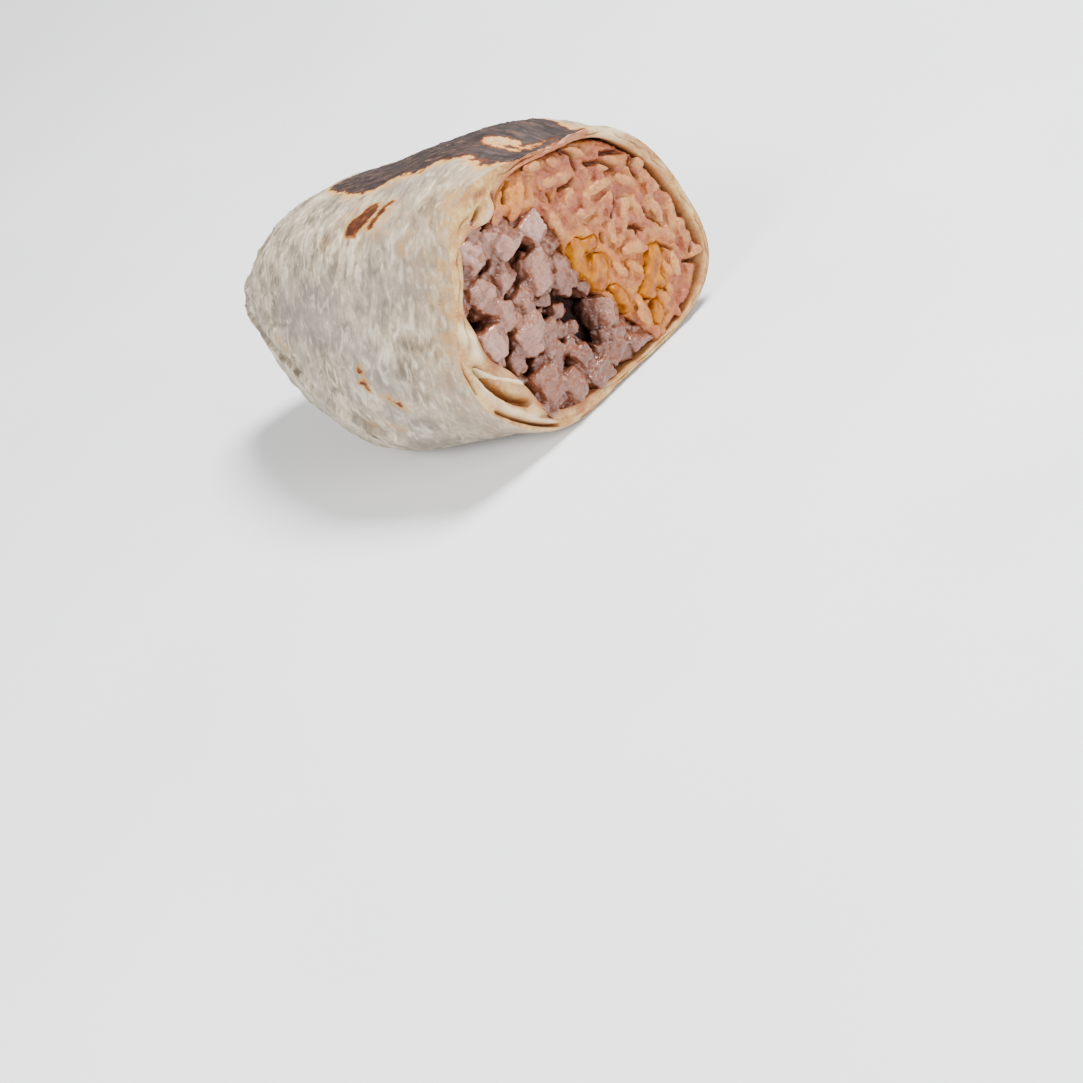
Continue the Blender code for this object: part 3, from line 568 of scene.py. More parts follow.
def skinRelief(x, angle):
    # how far the skin stands out at a place, in mm
    fromTip = x - roll["tip"]
    turn = math.radians(angle)
    grown = ease(fromTip / 8.0)
    waves = sum(height * math.cos(count * turn + phase) for height, count, phase in tortilla["tucks"])
    relief = waves * grown * (1.0 - ease(fromTip / tortilla["tuckLength"]))

    off = turnFrom(foldAngle(x), angle) * arcPerDegree
    fade = grown * (1.0 - ease((x + 46.0) / 14.0))
    step = ease(off / 0.7) * (1.0 - ease(off / 11.0)) if off > 0.0 else 0.0
    relief += tortilla["foldStep"] * step * fade - 0.25 * bell(off + 0.4, 0.6) * fade

    slant = turn + 0.012 * (x + 40.0)
    relief += sum(height * ringNoise(x, slant, length, reach, shift)
                  for height, length, reach, shift in tortilla["lumps"])
    warp = x + 2.4 * ringNoise(x, slant, 7.0, 3.2, (0.0, 0.0, 2.0))
    streak = max(0.0, 1.0 - 3.2 * abs(ringNoise(warp, slant, 2.1, 5.4)))
    relief += tortilla["wrinkle"] * streak**2
    relief += tortilla["grain"] * ringNoise(x, slant, 1.0, 8.0, (31.0, 0.0, 0.0))
    crumple = 1.0 - ease((fromTip - 12.0) / tortilla["crumpleLength"])
    if crumple > 0.0:
        bent = ringNoise(x, slant, 3.4, 6.0, (0.0, 3.0, 0.0))
        relief += crumple * grown * (tortilla["crumple"] * bent - 0.35 * max(0.0, 1.0 - 5.0 * abs(bent)))
    for start, end, width, height in tortilla["creases"]:
        far = skinDistance(x, angle, start, end)
        if far < 3.0 * width:
            relief += height * bell(far, width)
    return relief


def searAt(x, angle):
    # mm inside the scorched band, negative outside it
    off = turnFrom(scorch["middle"], angle) * arcPerDegree
    if abs(off) > 18.0:
        return scorch["farOutside"]
    wander = 2.4 * ripple(x, off, 9.0, 2.0) + ripple(x, off, 3.0, 5.0)
    inside = scorch["halfWidth"] * ease((x - scorch["start"]) / 14.0) ** 0.6 - abs(off) + 0.8 * wander
    inside = min(inside, (x - scorch["start"]) * 0.9 + wander)
    for start, end, radius in scorch["bites"]:
        inside = min(inside, skinDistance(x, angle, start, end) - radius + 0.5 * wander)
    for start, end, radius in scorch["extras"]:
        inside = max(inside, radius - skinDistance(x, angle, start, end))
    return max(inside, scorch["farOutside"])


def spotAt(x, angle):
    # mm inside a toasted spot, negative outside them all
    wander = 0.7 * ripple(x, angle * arcPerDegree, 2.2, 9.0)
    inside = max(radius - skinDistance(x, angle, start, end) for start, end, radius in scorch["spots"])
    return max(inside + wander, scorch["farOutside"])


def tanAt(x, angle):
    # how browned the skin is, from 0 to 1: more near the cut
    amount = 0.0
    for start, end, radius in scorch["faint"]:
        amount = max(amount, bell(skinDistance(x, angle, start, end), radius))
    return amount * 0.85 + 0.5 * ease(1.0 - (edgeX(angle) - x) / 20.0)


def patchAt(name, angle):
    middle, half, strength = cutFace[name]
    return strength * bell(angle - middle, half)


def cutRelief(y, z, angle, share):
    # how far the wrap's cut edge stands out of the knife's plane, how much painted shade lies in its slits,
    # and how much of it is stained and pale. share runs from the skin to the filling
    bulge = math.sin(math.pi * share)
    height = cutFace["puff"] * (bulge**0.6 - 0.5)
    height += bulge * sum(rise * ripple(y, z, size, seed) for rise, size, seed in cutFace["lumps"])
    slitShade = pale = 0.0
    for line, half, depth in cutFace["slits"]:
        far = lineDistance((y, z), line)
        if far < 4.0 * half:
            height -= depth * bell(far, half) * bulge**0.3
            # painted shade down in the slit
            slitShade = max(slitShade, min(0.85, 1.1 * bell(far, half)))
    for line, half, rise in cutFace["ridges"]:
        far = lineDistance((y, z), line)
        if far < 3.0 * half:
            height += rise * bell(far, half) * (1.0 - slitShade)
            pale = max(pale, 0.8 * bell(far, half))

    layer = cutFace["layer"]
    broken = ease(1.6 * ripple(y, z, 4.0, 15.0) + 0.5)
    between = broken * bell(share - 0.5 - layer["wander"] * ripple(y, z, 5.0, 11.0), layer["half"])
    height -= layer["deep"] * between
    # the line between the layers is painted darker too, as shade
    slitShade = max(slitShade, 0.55 * between)

    # the stain grows towards the filling, and the edge is darker towards the bottom
    stain = 0.5 * ease((share - 0.6) / 0.4) + patchAt("lowDarker", angle)
    stain += 1.1 * max(0.0, ripple(y, z, 3.4, 8.0) - 0.08)
    span = cutFace["smear"]
    smear = ease((span["end"] - angle) / span["endFades"]) * ease(
        (angle - span["start"]) / span["startFades"])
    smear = max(smear, patchAt("faintSmear", angle))
    mashed = ripple(y, z, 2.0, 3.0)
    height += smear * (mashed + 0.5 * ripple(y, z, 0.9, 5.0))
    stain = min(max(stain, smear * (0.9 + 0.5 * mashed)), 1.0)
    return height, slitShade, stain, max(pale, patchAt("paleEdge", angle))


def makeWrap(materials):
    t = tortilla
    firstSkin = t["tipRows"]
    firstRim = firstSkin + t["skinRows"]
    firstWall = firstRim + t["rimRows"]
    firstEnd = firstWall + t["wallRows"]
    rows = firstEnd + t["endRows"]

    def place(row, column):
        angle = round(270.0 + 360.0 * (column % t["columns"]) / t["columns"], 4) % 360.0
        edge = edgeX(angle)
        sear = spot = scorch["farOutside"]
        tan = slitShade = stain = pale = 0.0
        if row <= firstSkin:
            share = row / t["tipRows"]
            x = roll["tip"] + 0.5 * share**2
            point = skinPoint(x, angle, 0.0, share)
        elif row <= firstRim:
            x = mix(roll["tip"] + 0.5, edge, ((row - firstSkin) / t["skinRows"]) ** 1.08)
            toEdge = edge - x
            relief = skinRelief(x, angle) * mix(0.35, 1.0, ease(toEdge / 5.0))
            relief -= 0.35 * max(0.0, 1.0 - toEdge / 0.9) ** 2
            sear, spot, tan = searAt(x, angle), spotAt(x, angle), tanAt(x, angle)
            if sear > 0.0:
                relief += 0.16 * ripple(x, angle * arcPerDegree, 1.6, 4.0)
            point = skinPoint(x, angle, -relief)
        elif row <= firstWall:
            share = (row - firstRim) / t["rimRows"]
            point = skinPoint(edge, angle, 0.35 + share * (around("wall", angle) - 0.35))
            y, z = point.y, point.z
            height, slitShade, stain, pale = cutRelief(y, z, angle, share)
            x = knifeX(y, z) + height
            point = Vector((x, y, z))
        else:
            share = min((row - firstWall) / t["wallRows"], 1.0)
            x = mix(edge - 0.4, roll["cavityEnd"], share**1.4)
            closing = 1.0 - max(0, row - firstEnd) / t["endRows"]
            point = skinPoint(x, angle, wallAt(x, angle), closing)
            stain = 0.75
        arc = 360.0 * column / t["columns"] * arcPerDegree
        tip = 1.0 - ease((x - roll["tip"] - 1.5) / 9.0)
        return point, (sear, spot, tan, slitShade, stain, pale, tip), (arc * mm, (x + 0.1 * arc) * mm)

    def slotOf(row):
        return 1 if row > firstRim else 0

    names = ("sear", "spot", "tan", "slitShade", "stain", "pale", "tip")
    bm = wrapGrid(rows, t["columns"], place, names, slotOf)
    return addPiece("rolledTortilla", bm, materials, "tortilla")


# A tongue of the sheet folded back into the pocket at the cut
tongue = {
    "line": [(-31.3, 1.6), (-30.3, -1.4), (-28.9, -3.6), (-27.3, -5.3), (-25.6, -7.1), (-24.1, -8.9),
             (-23.0, -11.0)],
    "thick": 1.2, "deep": 8.0, "out": 0.5, "rows": 60, "columns": 40,
}


def alongLine(line, share):
    # point and direction at a share of a (y, z) line's length
    lengths = [math.dist(a, b) for a, b in zip(line, line[1:])]
    left = share * sum(lengths)
    for (a, b), length in zip(zip(line, line[1:]), lengths):
        if left <= length or b is line[-1]:
            s = min(left / length, 1.0)
            return mix(a[0], b[0], s), mix(a[1], b[1], s), (b[0] - a[0]) / length, (b[1] - a[1]) / length
        left -= length


def makeTongue(materials):
    t = tongue

    def place(row, column):
        share = row / t["rows"]
        y, z, runY, runZ = alongLine(t["line"], share)
        turn = 2.0 * math.pi * (column % t["columns"]) / t["columns"]
        taper = math.sqrt(max(0.0, 1.0 - abs(2.0 * share - 1.0) ** 6))
        across = 0.5 * t["thick"] * taper * math.cos(turn) * (1.0 + 0.2 * ripple(y, z, 1.0, 3.0))
        out = 0.5 * t["deep"] * taper * math.copysign(abs(math.sin(turn)) ** 0.5, math.sin(turn))
        x = knifeX(y, z) + t["out"] - 0.5 * t["deep"] + out + 0.4 * ripple(y, z, 1.5, 0.0)
        point = Vector((x, y - runZ * across, z + runY * across))
        return point, (0.0, 0.0, 0.75), (share, turn)

    bm = wrapGrid(t["rows"], t["columns"], place, ("slitShade", "stain", "pale"))
    return addPiece("foldedTongue", bm, materials)


# The line between steak and rice across the cut (y, z)
border = [(-15.0, 31.0), (-11.0, 23.5), (-6.0, 21.3), (-0.8, 17.0), (0.6, 10.0), (-0.4, 3.0),
          (1.6, -3.5), (3.2, -8.5), (5.2, -13.5), (7.6, -18.5), (9.0, -23.5), (10.5, -31.0)]


def borderSide(y, z):
    # distance to the line: positive on the rice side
    best = None
    for a, b in zip(border, border[1:]):
        far = segmentDistance((y, z), a, b)
        side = (b[0] - a[0]) * (z - a[1]) - (b[1] - a[1]) * (y - a[0])
        if best is None or far < abs(best):
            best = math.copysign(far, side)
    return best


def regionOutline(side, gap):
    # outline of the rice (1) or the steak (-1) across the cut, evenly spaced
    def crossing(ends):
        (y0, z0), (y1, z1) = ends
        for step in range(201):
            y, z = mix(y0, y1, step / 200), mix(z0, z1, step / 200)
            if math.hypot(y, z) <= roomAt(angleOf(y, z)):
                break
        return angleOf(y, z) % 360.0

    top, bottom = crossing(border[:2]), crossing(border[:-3:-1])
    start, end = (bottom - 360.0, top) if side > 0 else (top, bottom)
    arc = []
    for step in range(91):
        angle = mix(start + 1.2, end - 1.2, step / 90)
        radius = roomAt(angle) - gap
        arc.append((radius * math.cos(math.radians(angle)), radius * math.sin(math.radians(angle))))
    inner = []
    for i, (y, z) in enumerate(border[1:-1], 1):
        run = Vector(border[i + 1]) - Vector(border[i - 1])
        run.normalize()
        y, z = y - side * run.y * gap, z + side * run.x * gap
        if math.hypot(y, z) < 0.94 * roomAt(angleOf(y, z)):
            inner.append((y, z))
    outline = arc + (inner if side > 0 else inner[::-1])
    return outline + outline[:1]


# Rows and columns of a packed filling's grid
bedGrid = {"columns": 150, "backRows": 3, "sideRows": 10, "frontRows": 44}


def bedMesh(side, back, height, shade):
    # packed filling: a closed body from back to an uneven front at the cut, which is painted as
    # deep as shade says. back is a place along the roll, or how far behind the knife it lies
    outline = regionOutline(side, roll["gap"])
    columns, backRows, sideRows, frontRows = bedGrid.values()
    ring = [alongLine(outline, k / columns)[:2] for k in range(columns)]
    middleY = sum(y for y, z in ring) / columns
    middleZ = sum(z for y, z in ring) / columns

    def backX(y, z):
        return back if back < -40.0 else knifeX(y, z) + back

    def place(row, column):
        y, z = ring[column % columns]
        deep = 1.0
        if row <= backRows:
            share = row / backRows
            y, z = mix(middleY, y, share), mix(middleZ, z, share)
            point = within(backX(y, z), y, z, roll["gap"])
        elif row <= backRows + sideRows:
            share = (row - backRows) / sideRows
            front = knifeX(y, z) + height(y, z) - 1.0
            point = within(mix(backX(y, z), front, share), y, z, roll["gap"])
        else:
            share = 1.0 - (row - backRows - sideRows) / frontRows
            y, z = mix(middleY, y, share), mix(middleZ, z, share)
            point = within(knifeX(y, z) - 1.0, y, z, roll["gap"])
            point = Vector((knifeX(point.y, point.z) + height(y, z) - 0.8 * share**30, point.y, point.z))
            deep = shade
        return point, (0.2, 0.0, deep), (column / columns, row)

    return wrapGrid(backRows + sideRows + frontRows, columns, place, ("tone", "cheesy", "deep"))


def fuse(made, voxel, rounds, finish):
    # joins the overlapping bodies of a piece into one skin, with a voxel's size in mm and some
    # rounds of smoothing. finish moves and paints each point
    remesh = made.modifiers.new("melt", "REMESH")
    remesh.mode = "VOXEL"
    remesh.voxel_size = voxel * 1.0 * mm
    soften = made.modifiers.new("soften", "SMOOTH")
    soften.factor = 0.5
    soften.iterations = rounds
    graph = bpy.context.evaluated_depsgraph_get()
    joined = bpy.data.meshes.new_from_object(made.evaluated_get(graph))
    made.modifiers.clear()
    made.data = joined
    results = [finish(vert.co / mm - roll["shift"], vert.normal.copy()) for vert in joined.vertices]
    for vert, (shift, values) in zip(joined.vertices, results):
        vert.co += shift * mm
    for k, name in enumerate(("tone", "cheesy", "deep")):
        layer = joined.attributes.get(name) or joined.attributes.new(name, "FLOAT", "POINT")
        layer.data.foreach_set("value", [values[k] for shift, values in results])
    joined.shade_smooth()
    print(made.name, "points:", len(joined.vertices))
    return made


def nearest(places):
    # finds the closest of some (point, tone) pairs
    tree = kdtree.KDTree(len(places))
    for k, (spot, tone) in enumerate(places):
        tree.insert(spot, k)
    tree.balance()
    return tree


# Rice: grains lie pressed together in a mash, with sauce and a few cracks between them
rice = {
    "length": 6.4, "width": 2.3, "count": 150, "spacing": 2.3,
    "bed": -0.75,           # the mash lies this far behind the knife
    "back": -5.5, "bodyFront": -4.0,
    "voxel": 0.3,
    # past this depth the rice is painted all dark, as shade
    "paintedTo": 3.6,       # deeper behind the knife than this it is all dark
    # how far a grain stays from the wrap, the steak, the cheese and a grain that shows whole
    "clear": {"wrap": 1.6, "steak": 0.8, "cheese": 0.9, "shown": 1.9},
    # grains that show whole: from and to (y, z)
    "shown": [
        ((1.7, 22.3), (9.2, 20.0)), ((-6.6, 23.2), (-4.3, 26.6)), ((-4.6, 21.6), (-2.0, 25.5)),
        ((15.0, 1.8), (18.5, 6.7)), ((19.8, 5.5), (19.7, 0.4)), ((23.9, 2.7), (23.6, -4.0)),
        ((27.6, -1.3), (25.7, -6.4)), ((25.8, -13.8), (29.4, -15.2)), ((22.1, -11.3), (20.8, -16.2)),
        ((12.8, 5.2), (10.9, 0.5)), ((11.6, -2.5), (15.9, -3.6)), ((8.9, -2.7), (9.7, -7.5)),
        ((11.0, 13.5), (16.3, 12.7)), ((25.0, 7.6), (26.3, 3.5)), ((3.2, 14.3), (7.9, 16.3)),
        ((11.0, 9.2), (15.8, 9.8)), ((0.4, 27.7), (4.8, 26.3)), ((24.0, 12.2), (26.2, 9.6)),
        ((6.2, 9.3), (6.6, 3.9)), ((1.3, 15.3), (0.9, 10.5)),
        ((11.7, -5.0), (13.8, -9.4)), ((5.6, 11.3), (10.4, 9.7)), ((27.1, -5.6), (27.1, -10.4)),
        ((18.6, 12.2), (21.6, 8.6)), ((10.6, 24.6), (14.4, 21.6)), ((21.4, -4.0), (24.4, -8.2)),
        ((16.2, 16.6), (20.4, 15.2)), ((13.9, -3.4), (17.9, -6.0)), ((8.0, -15.6), (9.4, -20.0))],
    # cracks between them, with a half width
    "cracks": [
        ([(16.5, 9.0), (15.4, 6.9), (13.5, 5.6)], 0.42), ([(15.9, 0.9), (17.6, 0.0), (18.8, -1.8)], 0.4),
        ([(21.1, 1.9), (21.7, -0.7), (23.4, -4.5)], 0.32), ([(6.3, 18.4), (8.6, 17.8), (9.6, 18.4)], 0.4),
        ([(-6.9, 24.8), (-5.6, 27.0), (-3.4, 27.8)], 0.32), ([(3.4, 3.5), (5.5, 3.3), (7.6, 3.5)], 0.4),
        ([(10.8, 24.7), (12.1, 22.3), (11.3, 19.7)], 0.5), ([(14.3, 18.8), (17.2, 17.2), (19.7, 13.6)], 0.5),
        ([(18.1, 18.6), (20.5, 17.2), (23.4, 15.5)], 0.5), ([(24.7, 12.5), (23.1, 10.9), (23.9, 8.1)], 0.36),
        ([(27.0, 9.8), (27.8, 7.1)], 0.5), ([(27.5, 5.6), (28.6, 1.0), (28.8, -2.5), (29.4, -6.1)], 0.32),
        ([(24.1, -14.6), (26.6, -16.3), (28.0, -17.2)], 0.4),
        ([(29.4, -9.5), (28.7, -12.1), (26.4, -13.8)], 0.4), ([(3.5, 19.2), (3.2, 17.9)], 0.4),
        ([(9.5, 4.2), (8.8, 2.4)], 0.3), ([(20.6, -6.6), (22.7, -10.3)], 0.3)],
    "seed": 21,
}

# Melted cheese: blobs as y, z, half width, half height, lean in degrees
cheese = {
    "blobs": [
        (3.0, 5.2, 2.1, 2.2, 20), (6.3, 4.3, 1.9, 1.3, -30), (2.2, 1.6, 1.7, 2.5, 0),
        (5.4, -1.2, 2.8, 2.6, 0),
        (4.4, -3.8, 1.9, 1.9, 10), (6.8, -10.4, 1.3, 2.9, 12), (6.9, -13.0, 0.9, 1.5, 0),
        (18.8, -8.9, 1.9, 2.3, -30), (16.2, -11.8, 2.1, 2.5, -20), (13.6, -13.9, 2.0, 1.9, -40),
        (13.1, -19.5, 1.4, 2.2, -20), (17.0, -14.4, 1.0, 1.4, 0)],
    "thick": 1.9, "out": 0.45, "voxel": 0.3, "seed": 4,
    # strands that lead back through the rice: y, z, how far back, radius
    "root": [(4.4, 0.6, -5.0, 2.4), (6.6, -9.6, -5.0, 1.5), (15.6, -12.0, -5.0, 1.8)],
    "swell": 1.25,
    # rice that took its colour: y, z, stretch each way, half width, strength
    "tints": [(15.3, 25.0, 1.0, 1.0, 2.2, 0.7), (3.4, 18.6, 1.0, 1.0, 1.2, 0.7),
              (11.5, -5.5, 1.3, 1.5, 3.2, 0.35), (-4.9, 25.2, 1.1, 1.2, 3.6, 0.8)],
}


def cheeseNear(y, z):
    # distance to the nearest blob in mm, negative inside it
    far = 100.0
    for by, bz, wide, high, lean in cheese["blobs"]:
        a, b = leaned(y - by, z - bz, lean)
        far = min(far, (math.hypot(a / wide, b / high) - 1.0) * min(wide, high))
    return far


def cheesyAt(y, z):
    # how much the cheese has coloured the rice: around it, and in a few patches
    stained = 0.75 * bell(max(cheeseNear(y, z), 0.0), 1.5)
    tints = [strength * bell(math.hypot((y - ty) / wide, (z - tz) / high), half)
             for ty, tz, wide, high, half, strength in cheese["tints"]]
    return min(1.0, max(stained, *tints))


def riceHeight(y, z):
    # front of the mash, sunk where the cheese lies on it
    lumps = ripple(y, z, 3.2, 6.0) + 0.5 * ripple(y, z, 1.4, 2.0)
    sunk = 1.6 * ease(-cheeseNear(y, z) / 0.8 + 0.6)
    return rice["bed"] + lumps - sunk


def scatterFace(rng, count, spacing, accept):
    # places across the cut, at least a spacing apart
    left, right, low, top = roll["face"]
    points = []
    for _ in range(count * 90):
        y, z = rng.uniform(left, right), rng.uniform(low, top)
        if accept(y, z) and all((y - a) ** 2 + (z - b) ** 2 > spacing**2 for a, b in points):
            points.append((y, z))
        if len(points) == count:
            break
    return points


def addGrain(bm, centre, forward, length, width, bend):
    # a long grain: a slim ball with blunt ends, bent a little
    made = bmesh.ops.create_uvsphere(bm, u_segments=12, v_segments=10, radius=1.0)["verts"]
    turn = forward.to_track_quat("Z", "X").to_matrix()
    for vert in made:
        p = vert.co
        blunt = math.copysign(abs(p.z) ** 0.8, p.z)
        local = Vector((p.x * width / 2 + bend * (blunt * blunt - 0.4), p.y * width * 0.46,
                        blunt * length / 2))
        vert.co = centre + turn @ local


def makeGrains(materials):
    rng = random.Random(rice["seed"])
    bm = bedMesh(1, rice["back"], riceHeight, 0.0)
    grains = []
    for (y0, z0), (y1, z1) in rice["shown"]:
        rise = rng.uniform(-0.35, 0.0)
        start = Vector((knifeX(y0, z0) + rise + rng.gauss(0.0, 0.25), y0, z0))
        end = Vector((knifeX(y1, z1) + rise + rng.gauss(0.0, 0.25), y1, z1))
        grains.append((start, end, rice["width"] * rng.uniform(0.95, 1.1), rng.uniform(0.72, 1.0)))

    clear = rice["clear"]

    def accept(y, z):
        return (math.hypot(y, z) < roomAt(angleOf(y, z)) - clear["wrap"]
                and borderSide(y, z) > clear["steak"] and cheeseNear(y, z) > clear["cheese"])

    shown = [(start.yz + end.yz) / 2 for start, end, width, tone in grains]
    for y, z in scatterFace(rng, rice["count"], rice["spacing"], accept):
        if any((Vector((y, z)) - spot).length < clear["shown"] for spot in shown):
            continue
        angle = angleOf(y, z)
        flow = 75.0 + 110.0 * ripple(y, z, 8.0, 3.0) + rng.gauss(0.0, 26.0)
        if roomAt(angle) - math.hypot(y, z) < 4.5:
            flow = angle + 90.0 + rng.gauss(0.0, 18.0)
        flow, tip = math.radians(flow), rng.gauss(0.0, 0.3)
        forward = Vector((math.sin(tip), math.cos(tip) * math.cos(flow), math.cos(tip) * math.sin(flow)))
        half = forward * rice["length"] * rng.uniform(0.32, 0.5)
        centre = Vector((knifeX(y, z) - rng.uniform(0.6, 1.5), y, z))
        grains.append((centre - half, centre + half, rice["width"] * rng.uniform(0.85, 1.1),
                       rng.uniform(0.1, 0.75)))
    places = []
    for start, end, width, tone in grains:
        run = end - start
        addGrain(bm, (start + end) / 2, run.normalized(), run.length + 0.4, width, rng.uniform(-0.45, 0.45))
        places += [(start + run * k / 6, tone) for k in range(7)]
    tree = nearest(places)

    def finish(spot, normal):
        y, z = spot.y, spot.z
        behind = knifeX(y, z) - spot.x
        if behind > rice["paintedTo"]:
            return Vector(), (0.1, 0.0, 1.0)
        index, far = tree.find(spot)[1:]
        tone = places[index][1] * (1.0 - ease((far - 1.1) / 0.5)) + 0.12
        crack = max(bell(lineDistance((y, z), line), half) for line, half in rice["cracks"])
        rough = 0.22 * noise.noise(spot / 0.7) + 0.26 * noise.noise(spot / 1.6)
        pressed = 0.45 * max(-behind, 0.0) + 1.7 * ease(0.75 - cheeseNear(y, z) / 0.8)
        shift = normal * rough - Vector((2.2 * crack + pressed, 0.0, 0.0))
        # painted shade with some browning: darker the deeper it lies behind the knife, and in the cracks
        deep = max(0.75 * ease((behind - 1.1) / 2.0), 0.9 * crack)
        return shift, (tone, cheesyAt(y, z), min(deep, 0.92))

    print("rice grains:", len(grains))
    return fuse(addPiece("riceGrains", bm, materials, "rice"), rice["voxel"], 2, finish)


# Diced steak that shows at the cut: y, z, width, height, how far it stands out, tone
steak = {
    "dice": [
        (-17.9, 20.4, 7.4, 8.4, 0.6, 1.0), (-20.4, 11.2, 6.4, 9.6, 0.4, 0.8),
        (-25.4, 13.4, 4.2, 6.0, -1.8, 0.15), (-23.9, 2.0, 7.0, 7.0, 0.2, 0.85),
        (-11.3, 18.4, 5.6, 9.0, 0.0, 0.85), (-4.0, 15.6, 5.4, 7.4, 0.3, 0.95),
        (-6.7, 8.0, 7.4, 8.8, 0.8, 0.7), (-14.3, 11.6, 4.8, 8.0, -0.4, 0.75),
        (-18.8, 5.2, 5.0, 7.6, 0.1, 0.7), (-16.0, -3.0, 6.6, 7.8, 0.5, 0.8),
        (-17.2, -13.8, 7.6, 7.4, 0.6, 0.5), (-12.8, -18.8, 6.4, 7.0, 0.5, 0.55),
        (-6.4, -20.8, 6.2, 5.2, 0.3, 0.4), (-0.4, -19.4, 5.6, 6.4, 0.2, 0.45),
        (-12.8, 4.2, 5.4, 5.8, 0.4, 0.65), (-11.6, -5.6, 4.6, 6.8, -0.6, 0.2),
        (-12.6, -10.6, 5.0, 6.0, -0.4, 0.15), (-7.6, -15.2, 5.0, 6.4, 0.0, 0.2),
        (4.9, -20.6, 5.0, 4.8, 0.2, 0.5), (2.6, -10.2, 4.6, 8.0, 0.5, 0.7),
        (-21.0, -6.6, 4.8, 4.8, -0.9, 0.35), (-14.6, -22.4, 5.4, 3.0, -1.0, 0.3),
        (-1.2, 10.6, 4.4, 5.0, 0.1, 0.7), (-1.6, 4.6, 4.6, 5.4, -0.3, 0.6),
        (-21.6, 16.8, 4.2, 5.0, -1.0, 0.3), (-6.6, -9.4, 3.4, 5.6, -2.4, 0.1),
        (2.4, -16.2, 4.8, 5.8, 0.2, 0.5), (-9.4, 12.6, 3.2, 4.6, -5.0, 0.1),
        (-5.6, -4.0, 2.4, 4.4, -1.8, 0.25), (-19.8, -17.8, 4.6, 4.2, -0.5, 0.5),
        (-5.4, -12.8, 2.4, 5.4, -2.4, 0.25), (-9.6, -0.4, 3.4, 3.4, -2.6, 0.15),
        (0.2, 1.4, 4.2, 4.6, -0.5, 0.5), (1.2, -3.2, 2.8, 4.4, -1.2, 0.35),
        (-15.6, 24.8, 4.4, 3.8, -1.0, 0.4), (-8.2, 21.8, 4.4, 3.4, -0.7, 0.55),
        (-2.6, 19.8, 4.6, 3.2, -0.8, 0.6), (4.4, -5.6, 3.0, 3.4, -1.4, 0.3)],
    "deep": 8.0, "scraps": 80, "bed": -6.5, "back": -9.5, "bodyFront": -8.5,
    # gaps between the dice: y, z, half width, half height, lean in degrees
    "pits": [
        (-2.3, -8.8, 2.5, 8.0, -13.0), (-9.2, 14.2, 1.3, 6.0, -30.0),
        (-24.9, 8.7, 1.3, 4.6, 42.0), (-8.9, -0.6, 3.0, 1.2, 10.0),
        (-20.6, -0.8, 1.1, 3.2, -25.0), (-14.6, -11.0, 0.8, 1.8, 40.0),
        (-10.9, -15.6, 0.8, 1.8, 30.0), (-21.4, -12.8, 0.9, 1.8, 40.0),
        (-17.0, 16.2, 1.2, 0.6, 0.0)],
    "voxel": 0.3, "seed": 8,
    "swell": 1.03, "spacing": 2.6,
    # past this depth the meat is painted all dark, as shade
    "paintedTo": 8.2,       # deeper behind the knife than this it is all dark
    # how far a scrap stays from the wrap, the rice and a gap
    "clear": {"wrap": 1.7, "rice": 0.9, "pit": 0.9},
}


def pitAt(y, z, swell=0.0):
    # 1 in the middle of a gap, 0 at its rim and beyond
    best = 0.0
    for py, pz, wide, high, lean in steak["pits"]:
        a, b = leaned(y - py, z - pz, lean)
        best = max(best, 1.0 - math.hypot(a / (wide + swell), b / (high + swell)))
    return best


def steakHeight(y, z):
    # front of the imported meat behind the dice, sunk in the gaps
    return steak["bed"] - 2.0 * ease(pitAt(y, z, 1.0)) + 0.9 * ripple(y, z, 3.0, 4.0)


def addDie(bm, rng, centre, size, turn, front, subdivisions):
    # a piece of meat: flat sides left by the knife, at odd angles, with its corners knocked off
    knife = Vector((1.0, -roll["leanY"], -roll["leanZ"])).normalized()
    tilt = Vector([rng.gauss(0.0, 0.12) for _ in range(3)])
    planes = [((knife + tilt).normalized(), max(front + knifeX(centre.y, centre.z) - centre.x, 0.3))]
    for axis in range(3):
        for side in (-1.0, 1.0):
            normal = Vector([rng.gauss(0.0, 0.18) for _ in range(3)])
            normal[axis] = side
            planes.append((turn @ normal.normalized(), size[axis] / 2 * rng.uniform(0.92, 1.06)))
    for _ in range(6):
        normal = Vector([rng.gauss(0.0, 1.0) for _ in range(3)]).normalized()
        reach = sum(abs(normal[axis]) * size[axis] / 2 for axis in range(3))
        planes.append((turn @ normal, reach * rng.uniform(0.62, 0.84)))
    made = bmesh.ops.create_icosphere(bm, subdivisions=subdivisions, radius=1.0)["verts"]
    seed = Vector((rng.uniform(0, 90), rng.uniform(0, 90), rng.uniform(0, 90)))
    for vert in made:
        d = vert.co.normalized()
        reach = min(h / max(n.dot(d), 0.02) for n, h in planes)
        lumps = 0.55 * noise.noise(d * reach / 2.6 + seed) + 0.25 * noise.noise(d * reach / 1.1 + seed)
        vert.co = centre + d * (reach + lumps)


